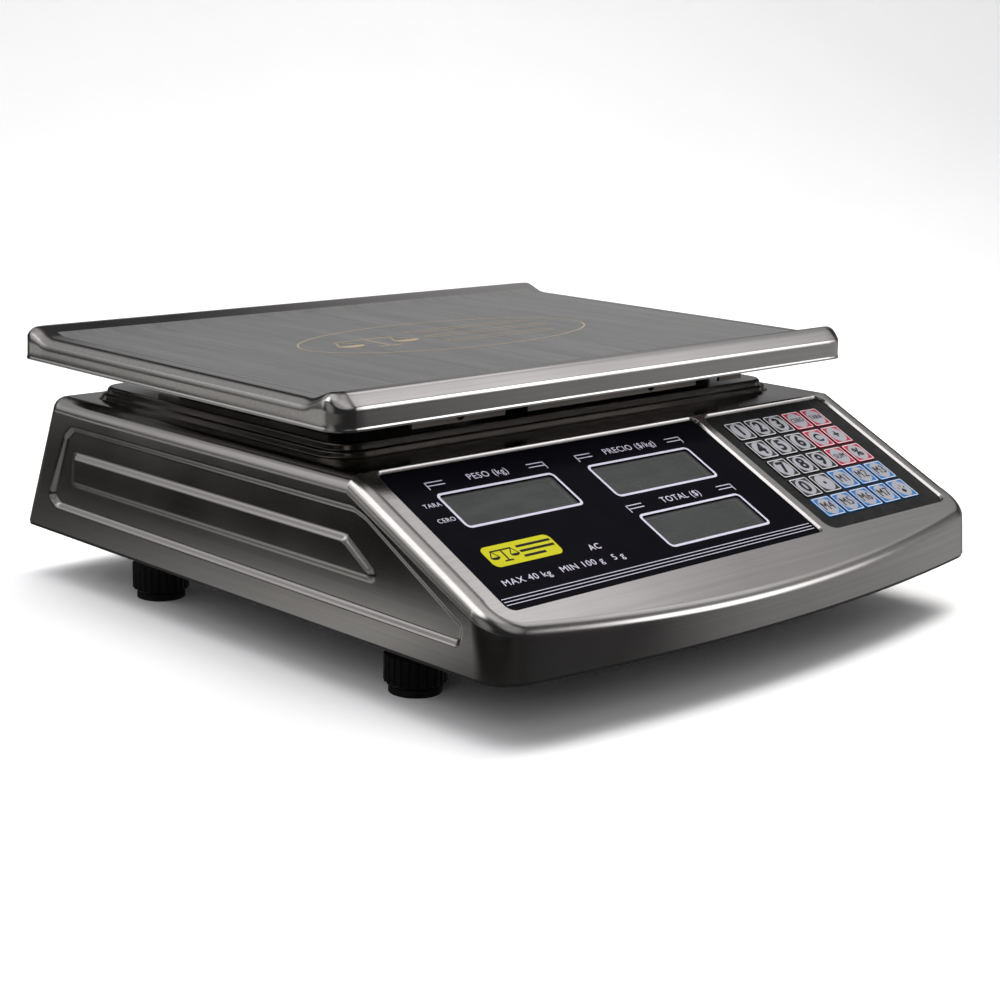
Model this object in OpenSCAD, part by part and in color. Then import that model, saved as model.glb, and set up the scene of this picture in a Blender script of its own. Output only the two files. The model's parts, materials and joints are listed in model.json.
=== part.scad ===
// Counter-top price-computing scale.
// Frame: X to the right of the person at the keypad, Y towards the back, Z up.
// The origin is on the table, under the middle of the scale.

/* [Body] */
// Width of the housing
body_w = 316.6; // [300:0.1:324]
// How far the housing's middle lies to the right of the platter's
body_x = 1.8; // [0:0.1:3]
// Half depth of the housing at its foot: it reaches this far to the front and the back
body_half_d = 170.5; // [166:0.5:175]
// Height of the table-side face of the base plate
base_z = 25; // [23:1:28]
// Height of the flat top of the housing
top_z = 90.5; // [88:0.5:96]
// Sheet thickness of housing and base plate
sheet = 1.2; // [0.8:0.1:1.5]
// How much further back the housing's foot reaches than its top
rear_lean_run = 27; // [20:1:30]
// How much the front edge bows forward between its corners
front_bow = 14; // [8:0.5:16]

/* [Console] */
// Y of the edge where the flat top turns into the console slope
shoulder_y = -69.3; // [-72:0.1:-66]
// Slope of the console below the horizontal, in degrees
console_tilt = 26.66; // [25:0.1:28]
// Depth of the two pressed trays that hold the panels
tray_depth = 2.4; // [2:0.1:2.6]
// Thickness of the panels in the trays
panel_t = 1; // [0.8:0.1:1.2]
// Width of the display lens
lens_w = 193; // [188:0.2:196]
// Width of the keypad panel
keypad_w = 90.5; // [89:0.5:92]
// Height of both panels along the slope
panel_h = 84.5; // [83:0.5:87]

/* [Keys] */
// Rows and columns of keys
key_n = 5; // [5:1:5]
// Distance between key columns
key_pitch_x = 14.63; // [14:0.01:15]
// Distance between key rows along the slope
key_pitch_s = 14.53; // [14:0.01:15]
// Width of a key
key_w = 12.9; // [11:0.05:13]
// Height of a key along the slope
key_h = 12.8; // [11:0.05:13]
// How far a key travels when pressed
key_travel = 0.5; // [0.3:0.1:0.6]

/* [Platter] */
// Width of the platter
platter_w = 330; // [320:1:340]
// Depth of the platter
platter_d = 230; // [220:1:240]
// Y of the platter's middle
platter_y = 41; // [38:1:44]
// Height of the platter's flat weighing surface
pan_z = 119; // [118:0.5:121]

/* [Feet] */
// Distance of the feet from the middle plane
foot_x = 129; // [125:1:132]
// Y of the front feet
foot_front_y = -81; // [-90:1:-75]
// Y of the back feet
foot_back_y = 96; // [92:1:110]
// Diameter of the ribbed knob
knob_d = 26; // [24:1:28]

/* [Hidden] */
$fn = 48;
gap = 0.3;                       // clearance between pieces that move past each other
slide_gap = 0.05;                // clearance of pins and studs that turn in their bores
shell_z = base_z + 1.5;          // the housing stands on the base plate
bow_half_w = body_w / 2;
bow_r = (pow(bow_half_w, 2) + pow(front_bow, 2)) / (2 * front_bow);
bow_y = bow_r - body_half_d;     // centre of the bow's arc
front_corner_r = 16;
back_corner_r = 7;
rear_lean = atan(rear_lean_run / (top_z - base_z));
ridge_y = -168;                 // front end of the console slope
ridge_z = top_z + (ridge_y - shoulder_y) * tan(console_tilt);
lens_x = -45.5;                  // middle of the display lens
lens_s = -44.35;                 // the same, along the slope from the shoulder
keypad_x = 103.15;               // middle of the keypad panel
keypad_s = -44.5;
key_x0 = keypad_x - 31.15;       // middle of the top left key
key_s0 = -15.25;
key_top = -0.9;                  // outer face of the keys, from the console's surface
key_seat = -tray_depth - gap;    // top of the key's flange, under the panel
key_flange_t = 1;
key_stem_end = -5.6;
board_t = 1.6;
keypad_board_top = -6.8;
dome_h = 0.4;
lcd_size = [68, 24, 2.8];
lcd_hole = [70, 26];
lcd_places = [[-90.9, -29.3], [-3.6, -29.4], [-4.2, -63.9]];
rear_x = 25;                     // middle of the customer display
rear_u = 37;                     // its height above the foot of the back wall, along the wall
rear_size = [222, 38];
rear_pitch = 73;
inlet_x = -112;
inlet_u = 33;
inlet_hole = [28.5, 20.5];
cell_size = [130, 30, 22];
cell_z = 45;
cell_grip = 35;                  // length of each clamped end of the load cell
frame_z = 112.5;                 // under face of the weigh frame's plate
frame_t = 1.5;
frame_flange_z = 97.3;
frame_size = [250, 166];
pad_places = [for (x = [-105, 105], y = [platter_y - 66, platter_y + 66]) [x, y]];
pad_d = 18;
plateau_z = 96;
plateau_x = 142;
plateau_y = [-48, 131];
neck_hole = [46, 40];            // opening in the plateau for the load cell's top block
free_end_x = (cell_size[0] - cell_grip) / 2;
level_at = [133, 110];
level_r = 6;
skirt_z = 108;
rim_z = 123;
foot_pad_d = 22;
foot_pad_t = 3;
knob_z = 3.1;
knob_top = 16;
stud_r = 4;
stud_top = 42;
jam_nut_t = 4.5;
weld_nut_t = 7;
switch_at = [130, 44];
switch_pivot_z = 27;
rocker_half = [4.8, 10.6];
rocker_tilt = 10;
tab_places = [for (x = [-1, 1], y = [-120, 10, 130]) [body_x + x * (bow_half_w - 9), y]];
cell_screws_x = [-free_end_x - 10, -free_end_x + 10];
foot_ys = [foot_front_y, foot_back_y];

// ---- outlines -------------------------------------------------------------------------------

// Points of an arc round c, both ends included
function arc(c, r, a0, a1, n = 8) = [for (i = [0:n]) let(a = a0 + (a1 - a0) * i / n) c + r * [cos(a), sin(a)]];

function unit(v) = v / norm(v);
function cross2(a, b) = a[0] * b[1] - a[1] * b[0];

// A closed outline with each corner i rounded to radius r[i]
function rounded(p, r, n = 5) = [
    for (i = [0:len(p) - 1])
        let(a = unit(p[(i + len(p) - 1) % len(p)] - p[i]), b = unit(p[(i + 1) % len(p)] - p[i]))
        let(half = acos(a * b) / 2, c = p[i] + unit(a + b) * r[i] / sin(half))
        let(from = c - p[i], side = cross2(a, b) > 0 ? 1 : -1)
        for (k = [0:n])
            let(t = side * (90 - half) * (1 - 2 * k / n), m = -unit(from) * r[i])
            c + [m[0] * cos(t) - m[1] * sin(t), m[0] * sin(t) + m[1] * cos(t)]
];

// A closed outline moved inwards by d; the points run anticlockwise
function inset(p, d) = [
    for (i = [0:len(p) - 1])
        let(a = unit(p[i] - p[(i + len(p) - 1) % len(p)]), b = unit(p[(i + 1) % len(p)] - p[i]))
        p[i] + d * ([-a[1], a[0]] + [-b[1], b[0]]) / (1 + a * b)
];

function box_outline(w, h) = [[-w / 2, -h / 2], [w / 2, -h / 2], [w / 2, h / 2], [-w / 2, h / 2]];
function soft_box(w, h, r) = rounded(box_outline(w, h), [r, r, r, r]);

// Plan of the body: straight sides and back, bowed front, rounded corners
function body_plan(d) =
    let(w = bow_half_w - d, big = bow_r - d, rf = front_corner_r - d, rb = back_corner_r - d)
    let(fx = w - rf, fy = bow_y - sqrt(pow(big - rf, 2) - fx * fx))
    let(swing = asin(fx / (big - rf)), by = body_half_d - d - rb, m = body_x)
    concat(arc([m + w - rb, by], rb, 90, 0), arc([m + fx, fy], rf, 0, swing - 90),
           arc([m, bow_y], big, swing - 90, -90 - swing, 24), arc([m - fx, fy], rf, -90 - swing, -180),
           arc([m - w + rb, by], rb, 180, 90));

// Side view of the body as [y, z]: foot, front ridge, shoulder, back edge
shell_foot_y = body_half_d - (shell_z - base_z) * tan(rear_lean);
body_corners = [[-body_half_d, shell_z], [shell_foot_y, shell_z],
                [body_half_d - rear_lean_run, top_z], [shoulder_y, top_z], [ridge_y, ridge_z],
                [-body_half_d, ridge_z - 6]];

function body_side(d) = rounded(inset(body_corners, d), [0.1, 0.1, 6 - d, 4, 4 - d, 0.1]);

// ---- frames of reference --------------------------------------------------------------------

// X, up the slope, outwards; origin in the middle of the shoulder
module on_console() {
    translate([0, shoulder_y, top_z]) rotate([console_tilt, 0, 0]) children();
}

// Seen from behind: X to the left of the body, up the wall, outwards
module on_back_wall() {
    translate([0, body_half_d, base_z]) rotate([90 - rear_lean, 0, 180]) children();
}

// Extrudes a [y, z] outline along X, centred
module along_x(w) {
    rotate([90, 0, 90]) translate([0, 0, -w / 2]) linear_extrude(w) children();
}

module plate_at(x, y, z, points, t) {
    translate([x, y, z]) linear_extrude(t) polygon(points);
}

// ---- housing --------------------------------------------------------------------------------

module body_form(d) {
    intersection() {
        along_x(body_w + 20) polygon(body_side(d));
        translate([0, 0, shell_z]) linear_extrude(top_z) polygon(body_plan(d));
    }
}

module plateau_form(d) {
    rim = 5.5;
    module step(z0, z1, grow) {
        w = 2 * (plateau_x - d - grow);
        l = plateau_y[1] - plateau_y[0] - 2 * (d + grow);
        plate_at(0, (plateau_y[0] + plateau_y[1]) / 2, z0 - d, soft_box(w, l, 14 - d), z1 - z0);
    }
    step(top_z - rim, top_z + 2.5, 0);
    step(top_z + 1, plateau_z, 2);
}

// The embossed panel of a side wall as [y, z]
emboss_outer = rounded([[-134, 37.5], [147, 37.5], [127, 78], [-76, 78], [-136, 44]], [4, 8, 6, 8, 2]);
emboss_pad = rounded([[-86, 51.5], [129, 51.5], [124, 65.5], [-66, 65.5]], [3, 4, 4, 4]);
emboss_depth = 1.6;

module emboss(side, depth, grow) {
    reach = 20;
    x = body_x + side * (bow_half_w - depth + reach / 2 - 0.01);
    translate([x, 0, 0]) along_x(reach) difference() {
        polygon(inset(emboss_outer, -grow));
        polygon(inset(emboss_pad, grow));
    }
}

module tray_cuts() {
    lens_plan = soft_box(lens_w + 0.6, panel_h + 0.6, 3);
    keypad_plan = soft_box(keypad_w + 0.6, panel_h + 0.6, 5);
    on_console() {
        plate_at(lens_x, lens_s, -tray_depth, lens_plan, 10);
        plate_at(keypad_x, keypad_s, -tray_depth, keypad_plan, 10);
        for (p = lcd_places) plate_at(p[0], p[1], -10, box_outline(lcd_hole[0], lcd_hole[1]), 12);
        plate_at(key_x0 + 2 * key_pitch_x, key_s0 - 2 * key_pitch_s, -10, box_outline(74, 74), 12);
    }
}

module tray_backs() {
    on_console() {
        plate_at(lens_x, lens_s, -tray_depth - sheet, soft_box(lens_w + 3, panel_h + 3, 4), tray_depth);
        plate_at(keypad_x, keypad_s, -tray_depth - sheet, soft_box(keypad_w + 3, panel_h + 3, 6), tray_depth);
    }
}

module rear_cuts() {
    on_back_wall() {
        plate_at(-rear_x, rear_u, -tray_depth, soft_box(rear_size[0] + 0.6, rear_size[1] + 0.6, 3), 10);
        for (i = [-1:1])
            plate_at(-rear_x + i * rear_pitch, rear_u, -10, box_outline(lcd_hole[0], lcd_hole[1]), 12);
        plate_at(-inlet_x, inlet_u, -10, box_outline(inlet_hole[0], inlet_hole[1]), 20);
    }
}

module rear_back() {
    on_back_wall()
        plate_at(-rear_x, rear_u, -tray_depth - sheet, soft_box(rear_size[0] + 3, rear_size[1] + 3, 4), tray_depth);
}

module housing_tabs() {
    for (p = tab_places) difference() {
        translate([p[0] + sign(p[0]) * 1, p[1], shell_z + 0.8]) cube([15, 12, 1.6], center = true);
        translate([p[0], p[1], shell_z - 1]) cylinder(r = 2.05, h = 5);
    }
}

module housing() {
    color([0.62, 0.61, 0.59]) union() {
        difference() {
            union() {
                body_form(0);
                plateau_form(0);
            }
            difference() {
                union() {
                    intersection() {
                        along_x(body_w + 20) polygon(body_side(sheet));
                        translate([0, 0, shell_z - 1]) linear_extrude(top_z) polygon(body_plan(sheet));
                    }
                    translate([0, 0, shell_z - 1]) linear_extrude(3) polygon(body_plan(sheet + 0.6));
                    plateau_form(sheet);
                }
                for (side = [-1, 1]) emboss(side, emboss_depth + sheet, sheet);
                tray_backs();
                rear_back();
            }
            for (side = [-1, 1]) emboss(side, emboss_depth, 0);
            tray_cuts();
            rear_cuts();
            translate([free_end_x, platter_y, plateau_z])
                cube([neck_hole[0], neck_hole[1], 10], center = true);
        }
        housing_tabs();
    }
}

// ---- base -----------------------------------------------------------------------------------

module at_feet() {
    for (x = [-foot_x, foot_x], y = foot_ys) translate([x, y, 0]) children();
}

module base_plate() {
    color([0.08, 0.08, 0.09]) difference() {
        translate([0, 0, base_z]) linear_extrude(shell_z - base_z) polygon(body_plan(0.6));
        at_feet() translate([0, 0, base_z - 1]) cylinder(r = stud_r + 0.5, h = 5);
        for (p = tab_places) translate([p[0], p[1], base_z - 1]) cylinder(r = 2.15, h = 5);
        for (x = cell_screws_x) translate([x, platter_y, base_z - 1]) cylinder(r = 3.2, h = 5);
        translate([free_end_x, platter_y, base_z - 1]) cylinder(r = 4.05, h = 5);
        translate([switch_at[0], switch_at[1], base_z]) cube([13, 28, 5], center = true);
    }
}

// A pan-head screw that goes up, with its head under z
module screw_up(x, y, z, r, length) {
    translate([x, y, z]) cylinder(r = r, h = length);
    translate([x, y, z - 0.7 * r]) cylinder(r = 1.9 * r, h = 0.7 * r);
}

module base_fasteners() {
    color([0.5, 0.5, 0.52]) {
        for (p = tab_places) screw_up(p[0], p[1], base_z, 2, 7);
        for (x = cell_screws_x) screw_up(x, platter_y, base_z, 3, 38);
    }
}

module foot_nuts() {
    color([0.55, 0.55, 0.56]) at_feet() {
        difference() {
            union() {
                translate([0, 0, base_z - jam_nut_t]) cylinder(r = 7.5, h = jam_nut_t, $fn = 6);
                translate([0, 0, shell_z]) cylinder(r = 8.2, h = weld_nut_t, $fn = 6);
            }
            translate([0, 0, base_z - 10]) cylinder(r = stud_r + slide_gap, h = 30);
        }
    }
}

// ---- console --------------------------------------------------------------------------------

module display_lens() {
    color([0.02, 0.02, 0.04]) on_console()
        plate_at(lens_x, lens_s, -tray_depth, soft_box(lens_w, panel_h, 2.5), panel_t);
}

module at_key(r, c) {
    on_console() translate([key_x0 + (c - 1) * key_pitch_x, key_s0 - (r - 1) * key_pitch_s, 0]) children();
}

module keypad_panel() {
    color([0.03, 0.03, 0.03]) difference() {
        on_console() plate_at(keypad_x, keypad_s, -tray_depth, soft_box(keypad_w, panel_h, 4.5), panel_t);
        for (r = [1:key_n], c = [1:key_n])
            at_key(r, c) plate_at(0, 0, -5, soft_box(key_w + 2 * gap, key_h + 2 * gap, 0.8), 8);
    }
}

function key_ink(r, c) =
    r <= 3 && c <= 3 || r == 4 && c <= 2 ? [0.1, 0.1, 0.12] : r <= 3 ? [0.6, 0.1, 0.16] : [0.1, 0.4, 0.65];

module key(r, c) {
    color(key_ink(r, c)) at_key(r, c) {
        plate_at(0, 0, key_seat, soft_box(key_w, key_h, 0.6), key_top - key_seat);
        plate_at(0, 0, key_seat - key_flange_t, soft_box(key_w + 1.3, key_h + 1.3, 1), key_flange_t);
        translate([0, 0, key_stem_end]) cylinder(r = 2, h = key_seat - key_stem_end);
    }
}

module keypad_board() {
    color([0.05, 0.3, 0.15]) on_console()
        plate_at(keypad_x, keypad_s + 5, keypad_board_top - board_t, box_outline(84, 78), board_t);
}

module key_domes() {
    color([0.8, 0.8, 0.78]) for (r = [1:key_n], c = [1:key_n])
        at_key(r, c) translate([0, 0, keypad_board_top]) rotate_extrude($fn = 32)
            polygon([[0, 0], [3, 0], [2.4, dome_h * 0.7], [1.2, dome_h], [0, dome_h]]);
}

module lcd() {
    plate_at(0, 0, -tray_depth - lcd_size[2], box_outline(lcd_size[0], lcd_size[1]), lcd_size[2]);
}

module lcd_modules() {
    color([0.45, 0.48, 0.44]) {
        on_console() for (p = lcd_places) translate([p[0], p[1], 0]) lcd();
        on_back_wall() for (i = [-1:1]) translate([-rear_x + i * rear_pitch, rear_u, 0]) lcd();
    }
}

module display_boards() {
    board_z = -tray_depth - lcd_size[2] - board_t;
    color([0.05, 0.3, 0.15]) {
        on_console() plate_at(lens_x, lens_s - 3, board_z, box_outline(184, 66), board_t);
        on_back_wall() plate_at(-rear_x, rear_u, board_z, box_outline(216, 36), board_t);
    }
}

module rear_lens() {
    color([0.02, 0.02, 0.04]) on_back_wall()
        plate_at(-rear_x, rear_u, -tray_depth, soft_box(rear_size[0], rear_size[1], 2.5), panel_t);
}

// ---- electronics ----------------------------------------------------------------------------

main_board_at = [-55, -100, 34];

plug_xs = [-42, -26, -10, 6, 22, 38]; // plugs along the back edge of the main board
plug_h = 8;

// Top of a plug on the main board
function plug(i) = main_board_at + [plug_xs[i], 24, board_t / 2 + plug_h];

module main_board() {
    translate(main_board_at) {
        color([0.05, 0.3, 0.15]) cube([110, 60, board_t], center = true);
        color([0.7, 0.7, 0.7]) for (x = [-50, 50], y = [-25, 25])
            translate([x, y, shell_z - main_board_at[2]]) cylinder(r = 3, h = main_board_at[2] - shell_z - 0.8);
        color([0.1, 0.1, 0.1]) {
            translate([-20, 5, board_t / 2]) cube([22, 22, 2.5]);
            translate([15, -15, board_t / 2]) cube([16, 8, 3]);
            for (x = plug_xs) translate([x - 5, 20, board_t / 2]) cube([10, 8, plug_h]);
            for (x = [28, 40]) translate([x, -5, board_t / 2]) cylinder(r = 4, h = 11);
        }
    }
}

// A ribbon cable: a [y, z] path given a thickness
module ribbon(x, w, path, t) {
    n = len(path);
    side = [for (i = [0:n - 1])
        let(a = unit(path[min(i + 1, n - 1)] - path[max(i - 1, 0)])) [-a[1], a[0]] * t / 2];
    translate([x, 0, 0]) along_x(w) polygon(concat([for (i = [0:n - 1]) path[i] + side[i]],
                                                   [for (i = [n - 1:-1:0]) path[i] - side[i]]));
}

// An eight-sided wire along a path of points: straight runs with balls at the bends
module wire(path, r) {
    for (i = [0:len(path) - 2]) {
        v = path[i + 1] - path[i];
        translate(path[i]) rotate([0, acos(v[2] / norm(v)), atan2(v[1], v[0])])
            cylinder(r = r, h = norm(v), $fn = 8);
    }
    for (i = [1:len(path) - 2]) translate(path[i]) sphere(r = r * 1.05, $fn = 8);
}

wire_paths = [
    // keypad board, customer display, load cell, battery, transformer
    [plug(2), plug(2) + [0, 0, 8], [20, -95, 51], [60, -100, 51], [75, -100, 64.3]],
    [plug(0), plug(0) + [0, 0, 7], [-118, -40, 46], [-118, 124, 36], [-62, 130, 36], [-60, 150, 49.8]],
    [plug(3), plug(3) + [0, 0, 8], [-72, -40, 56], [-72, 36, 56], [-65.2, 36, 56]],
    [plug(5), plug(5) + [0, 0, 8], [15, -52, 60], [40, -53.5, 80], [59, -53.5, 80], [59, -53.5, 75.7]],
    [plug(1), plug(1) + [0, 0, 6], [-104, -30, 44], [-104, 50, 50], [-104, 65.8, 50]],
    // inlet to transformer, and round by way of the switch
    [[-112, 136.6, 48.5], [-108, 126, 48.5], [-104, 116.4, 48.5]],
    [[130, 44, 45.2], [130, 44, 60], [110, 125, 60], [-50, 125, 60], [-62, 100, 60], [-68.9, 100, 58]],
];

module wiring() {
    color([0.45, 0.45, 0.48])
        ribbon(plug(4)[0], 9, [[-76, 43], [-76, 58], [-77, 70], [-80.7, 76.9]], 1);
    color([0.3, 0.3, 0.32]) for (path = wire_paths) wire(path, 1.5);
}

module battery() {
    color([0.15, 0.15, 0.17]) translate([48, -66, shell_z]) {
        cube([101, 68, 46]);
        translate([8, 10, 46]) cube([6, 5, 3]);
        translate([8, 50, 46]) cube([6, 5, 3]);
    }
}

module transformer() {
    translate([-112, 66, shell_z]) {
        color([0.3, 0.3, 0.32]) cube([42, 50, 34]);
        color([0.6, 0.35, 0.15]) translate([6, 4, 34]) cube([30, 42, 6]);
    }
}

inlet_body = [27.5, 19.5, 20];
inlet_cavity = [24.2, 16.4, 14];
inlet_pins = [[-7, 0.8], [0, -3.2], [7, 0.8]];

module power_inlet() {
    color([0.05, 0.05, 0.05]) on_back_wall() translate([-inlet_x, inlet_u, 0]) {
        difference() {
            union() {
                plate_at(0, 0, 0, soft_box(50, 23, 4), 2.4);
                plate_at(0, 0, -inlet_body[2], box_outline(inlet_body[0], inlet_body[1]), inlet_body[2]);
            }
            plate_at(0, 0, 2.4 - inlet_cavity[2], soft_box(inlet_cavity[0], inlet_cavity[1], 3), 20);
        }
    }
    color([0.8, 0.78, 0.7]) on_back_wall() translate([-inlet_x, inlet_u, 2.4 - inlet_cavity[2]])
        for (p = inlet_pins) translate([p[0] - 1, p[1] - 2, -0.5]) cube([2, 4, 7]);
}

// ---- power switch ---------------------------------------------------------------------------

module at_switch() {
    translate([switch_at[0], switch_at[1], switch_pivot_z]) children();
}

module switch_frame() {
    low = base_z - 2 - switch_pivot_z;
    color([0.06, 0.06, 0.06]) at_switch() difference() {
        union() {
            plate_at(0, 0, low, soft_box(16, 32, 2), 2);
            translate([-6.3, -13.8, low]) cube([12.6, 27.6, 20]);
        }
        translate([-5.2, -11.8, low - 1]) cube([10.4, 23.6, 11]);
        rotate([0, 90, 0]) cylinder(r = 1.5 + slide_gap, h = 12.2, center = true);
    }
}

module power_rocker() {
    paddle = [[-rocker_half[1], -4.6], [0, -3.4], [rocker_half[1], -4.6], [9, 1.5], [-9, 1.5]];
    color([0.1, 0.1, 0.1]) at_switch() rotate([rocker_tilt, 0, 0]) {
        along_x(2 * rocker_half[0]) polygon(paddle);
        rotate([0, 90, 0]) cylinder(r = 1.5, h = 12, center = true);
    }
}

// ---- weighing -------------------------------------------------------------------------------

module cell_hollow() {
    rotate([90, 0, 0]) for (x = [-12, 12]) translate([x, 0, 0]) cylinder(r = 8, h = 40, center = true);
    cube([24, 40, 6], center = true);
}

module load_cell() {
    color([0.78, 0.79, 0.8]) translate([0, platter_y, cell_z + cell_size[2] / 2]) difference() {
        cube(cell_size, center = true);
        cell_hollow();
        for (x = [-10, 10]) {
            translate([-free_end_x + x, 0, -cell_size[2] / 2 - 1]) cylinder(r = 3.05, h = 19);
            translate([free_end_x + x, 0, 0]) cylinder(r = 3.4, h = 40, center = true);
        }
    }
}

module cell_base_block() {
    color([0.4, 0.4, 0.42]) difference() {
        translate([-cell_size[0] / 2, platter_y - cell_size[1] / 2, shell_z])
            cube([cell_grip, cell_size[1], cell_z - shell_z]);
        for (x = cell_screws_x) translate([x, platter_y, base_z]) cylinder(r = 3.2, h = 30);
    }
}

module overload_stop() {
    color([0.5, 0.5, 0.52]) {
        screw_up(free_end_x, platter_y, base_z, 4, cell_z - base_z - 0.9);
        translate([free_end_x, platter_y, shell_z]) cylinder(r = 7.5, h = 6, $fn = 6);
    }
}

module cell_top_block() {
    color([0.4, 0.4, 0.42]) difference() {
        translate([free_end_x - cell_grip / 2, platter_y - cell_size[1] / 2, cell_z + cell_size[2]])
            cube([cell_grip, cell_size[1], frame_z - cell_z - cell_size[2]]);
        for (x = [-10, 10]) {
            translate([free_end_x + x, platter_y, 60]) cylinder(r = 3.05, h = 30);
            translate([free_end_x + x, platter_y, 98]) cylinder(r = 2.55, h = 30);
        }
    }
}

module frame_screws() {
    color([0.5, 0.5, 0.52]) for (x = [-10, 10]) translate([free_end_x + x, platter_y, 0]) {
        translate([0, 0, 41.5]) cylinder(r = 5, h = 3.5);
        translate([0, 0, cell_z]) cylinder(r = 3, h = 40);
        translate([0, 0, 100]) cylinder(r = 2.5, h = frame_z + frame_t - 100);
        translate([0, 0, frame_z + frame_t]) cylinder(r = 4.5, h = 2);
    }
}

// Downturned front or back flange, notched, with two small holes
module frame_flange(y) {
    spans = [[-98, -43], [-43, -29], [-29, 87], [87, 105], [105, 122]];
    difference() {
        for (i = [0:len(spans) - 1]) {
            low = i % 2 == 0 ? frame_flange_z : frame_z - 3;
            translate([spans[i][0], y - frame_t / 2, low]) cube([spans[i][1] - spans[i][0], frame_t, frame_z - low]);
        }
        for (x = [-70, 54]) translate([x, y, frame_flange_z + 3.2]) rotate([90, 0, 0])
            cylinder(r = 2.6, h = 10, center = true);
    }
}

module weigh_frame() {
    half = frame_size / 2;
    color([0.42, 0.41, 0.4]) {
        difference() {
            plate_at(0, platter_y, frame_z, soft_box(frame_size[0], frame_size[1], 12), frame_t);
            for (p = pad_places) translate([p[0], p[1], frame_z - 1]) cylinder(r = 3, h = 5);
            for (x = [-10, 10]) translate([free_end_x + x, platter_y, frame_z - 1]) cylinder(r = 2.7, h = 5);
        }
        for (y = [platter_y - half[1] + frame_t / 2, platter_y + half[1] - frame_t / 2]) frame_flange(y);
        for (x = [-1, 1]) translate([x * (half[0] - frame_t / 2), platter_y, (frame_flange_z + frame_z) / 2])
            cube([frame_t, frame_size[1] - 44, frame_z - frame_flange_z], center = true);
    }
}

module frame_pads() {
    color([0.07, 0.07, 0.07]) for (p = pad_places) translate([p[0], p[1], 0]) {
        translate([0, 0, frame_z + frame_t]) cylinder(r = pad_d / 2, h = pan_z - sheet - 0.1 - frame_z - frame_t);
        translate([0, 0, frame_z - 2]) cylinder(r = 3, h = 4);
        translate([0, 0, frame_z - 4]) cylinder(r = 4.5, h = 4);
    }
}

// Side view of the tray's outer face as [y, z], from its middle: skirt, rim, inner slope, flat
function tray_side(d) =
    let(h = platter_d / 2)
    inset([[-h, skirt_z], [h, skirt_z], [h, 117], [h - 7, rim_z], [h - 10.5, rim_z], [h - 23, pan_z],
           [-h + 23, pan_z], [-h + 10.5, rim_z], [-h + 7, rim_z], [-h, 117]], d);

// Front view of the tray's outer face as [x, z]: sides rounded into the top
function tray_front(d) =
    let(w = platter_w / 2 - d)
    concat([[-w, skirt_z - 1]], [[w, skirt_z - 1]], arc([w - 7, rim_z - 9 - d], 7, 0, 60, 4),
           [[w - 8, rim_z + 1 - d], [-w + 8, rim_z + 1 - d]], arc([-w + 7, rim_z - 9 - d], 7, 120, 180, 4));

module tray_form(d) {
    translate([0, platter_y, 0]) intersection() {
        along_x(platter_w) polygon(tray_side(d));
        rotate([90, 0, 0]) translate([0, 0, -platter_d]) linear_extrude(2 * platter_d) polygon(tray_front(d));
        linear_extrude(200) polygon(soft_box(platter_w - 2 * d, platter_d - 2 * d, 10 - d));
    }
}

module platter() {
    color([0.6, 0.6, 0.6]) difference() {
        tray_form(0);
        tray_form(sheet);
        translate([0, platter_y, skirt_z - 1]) linear_extrude(4)
            polygon(soft_box(platter_w - 2 * sheet, platter_d - 2 * sheet, 10 - sheet));
    }
}

module spirit_level() {
    translate([level_at[0], level_at[1], plateau_z]) {
        color([0.1, 0.1, 0.1]) difference() {
            cylinder(r = level_r, h = 7);
            translate([0, 0, 2]) cylinder(r = level_r - 1.2, h = 6);
        }
        color([0.6, 0.85, 0.4]) translate([0, 0, 2]) cylinder(r = level_r - 1.2, h = 4.2);
    }
}

// ---- feet -----------------------------------------------------------------------------------

// side: -1 left, 1 right; y: of the foot's axis
module foot_pad(side, y) {
    color([0.05, 0.05, 0.05]) translate([side * foot_x, y, 0]) {
        cylinder(r = foot_pad_d / 2, h = foot_pad_t);
        cylinder(r = 3, h = foot_pad_t + 5);
    }
}

function ribbed(r, deep, n) = [for (i = [0:4 * n - 1]) let(a = 90 * i / n, q = i % 4 < 2 ? r : r - deep)
    q * [cos(a), sin(a)]];

module foot_knob(side, y) {
    color([0.04, 0.04, 0.04]) translate([side * foot_x, y, 0]) difference() {
        union() {
            translate([0, 0, knob_z + 1.5]) linear_extrude(knob_top - knob_z - 1.5)
                polygon(ribbed(knob_d / 2, 0.7, 24));
            translate([0, 0, knob_z]) cylinder(r1 = knob_d / 2 - 2.2, r2 = knob_d / 2 - 0.7, h = 1.5);
            translate([0, 0, knob_top - 1]) cylinder(r = stud_r, h = stud_top - knob_top + 1);
        }
        translate([0, 0, knob_z - 1]) cylinder(r = 3 + slide_gap, h = 7);
    }
}

// ---- assembly -------------------------------------------------------------------------------

housing();
base_plate();
base_fasteners();
display_lens();
keypad_panel();
keypad_board();
key_domes();
lcd_modules();
display_boards();
rear_lens();
main_board();
wiring();
battery();
transformer();
power_inlet();
switch_frame();
power_rocker();
load_cell();
cell_base_block();
overload_stop();
spirit_level();
foot_nuts();
weigh_frame();
cell_top_block();
frame_screws();
frame_pads();
platter();
foot_pad(-1, foot_front_y);  // foot_fl_pad
foot_pad(1, foot_front_y);  // foot_fr_pad
foot_pad(-1, foot_back_y);  // foot_bl_pad
foot_pad(1, foot_back_y);  // foot_br_pad
foot_knob(-1, foot_front_y);  // foot_fl_knob
foot_knob(1, foot_front_y);  // foot_fr_knob
foot_knob(-1, foot_back_y);  // foot_bl_knob
foot_knob(1, foot_back_y);  // foot_br_knob
for (r = [1:key_n], c = [1:key_n])
    key(r, c);
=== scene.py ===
"""Counter-top price-computing scale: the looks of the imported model."""

import json
import math

import bmesh
import bpy
from mathutils import Matrix, Vector


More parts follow.
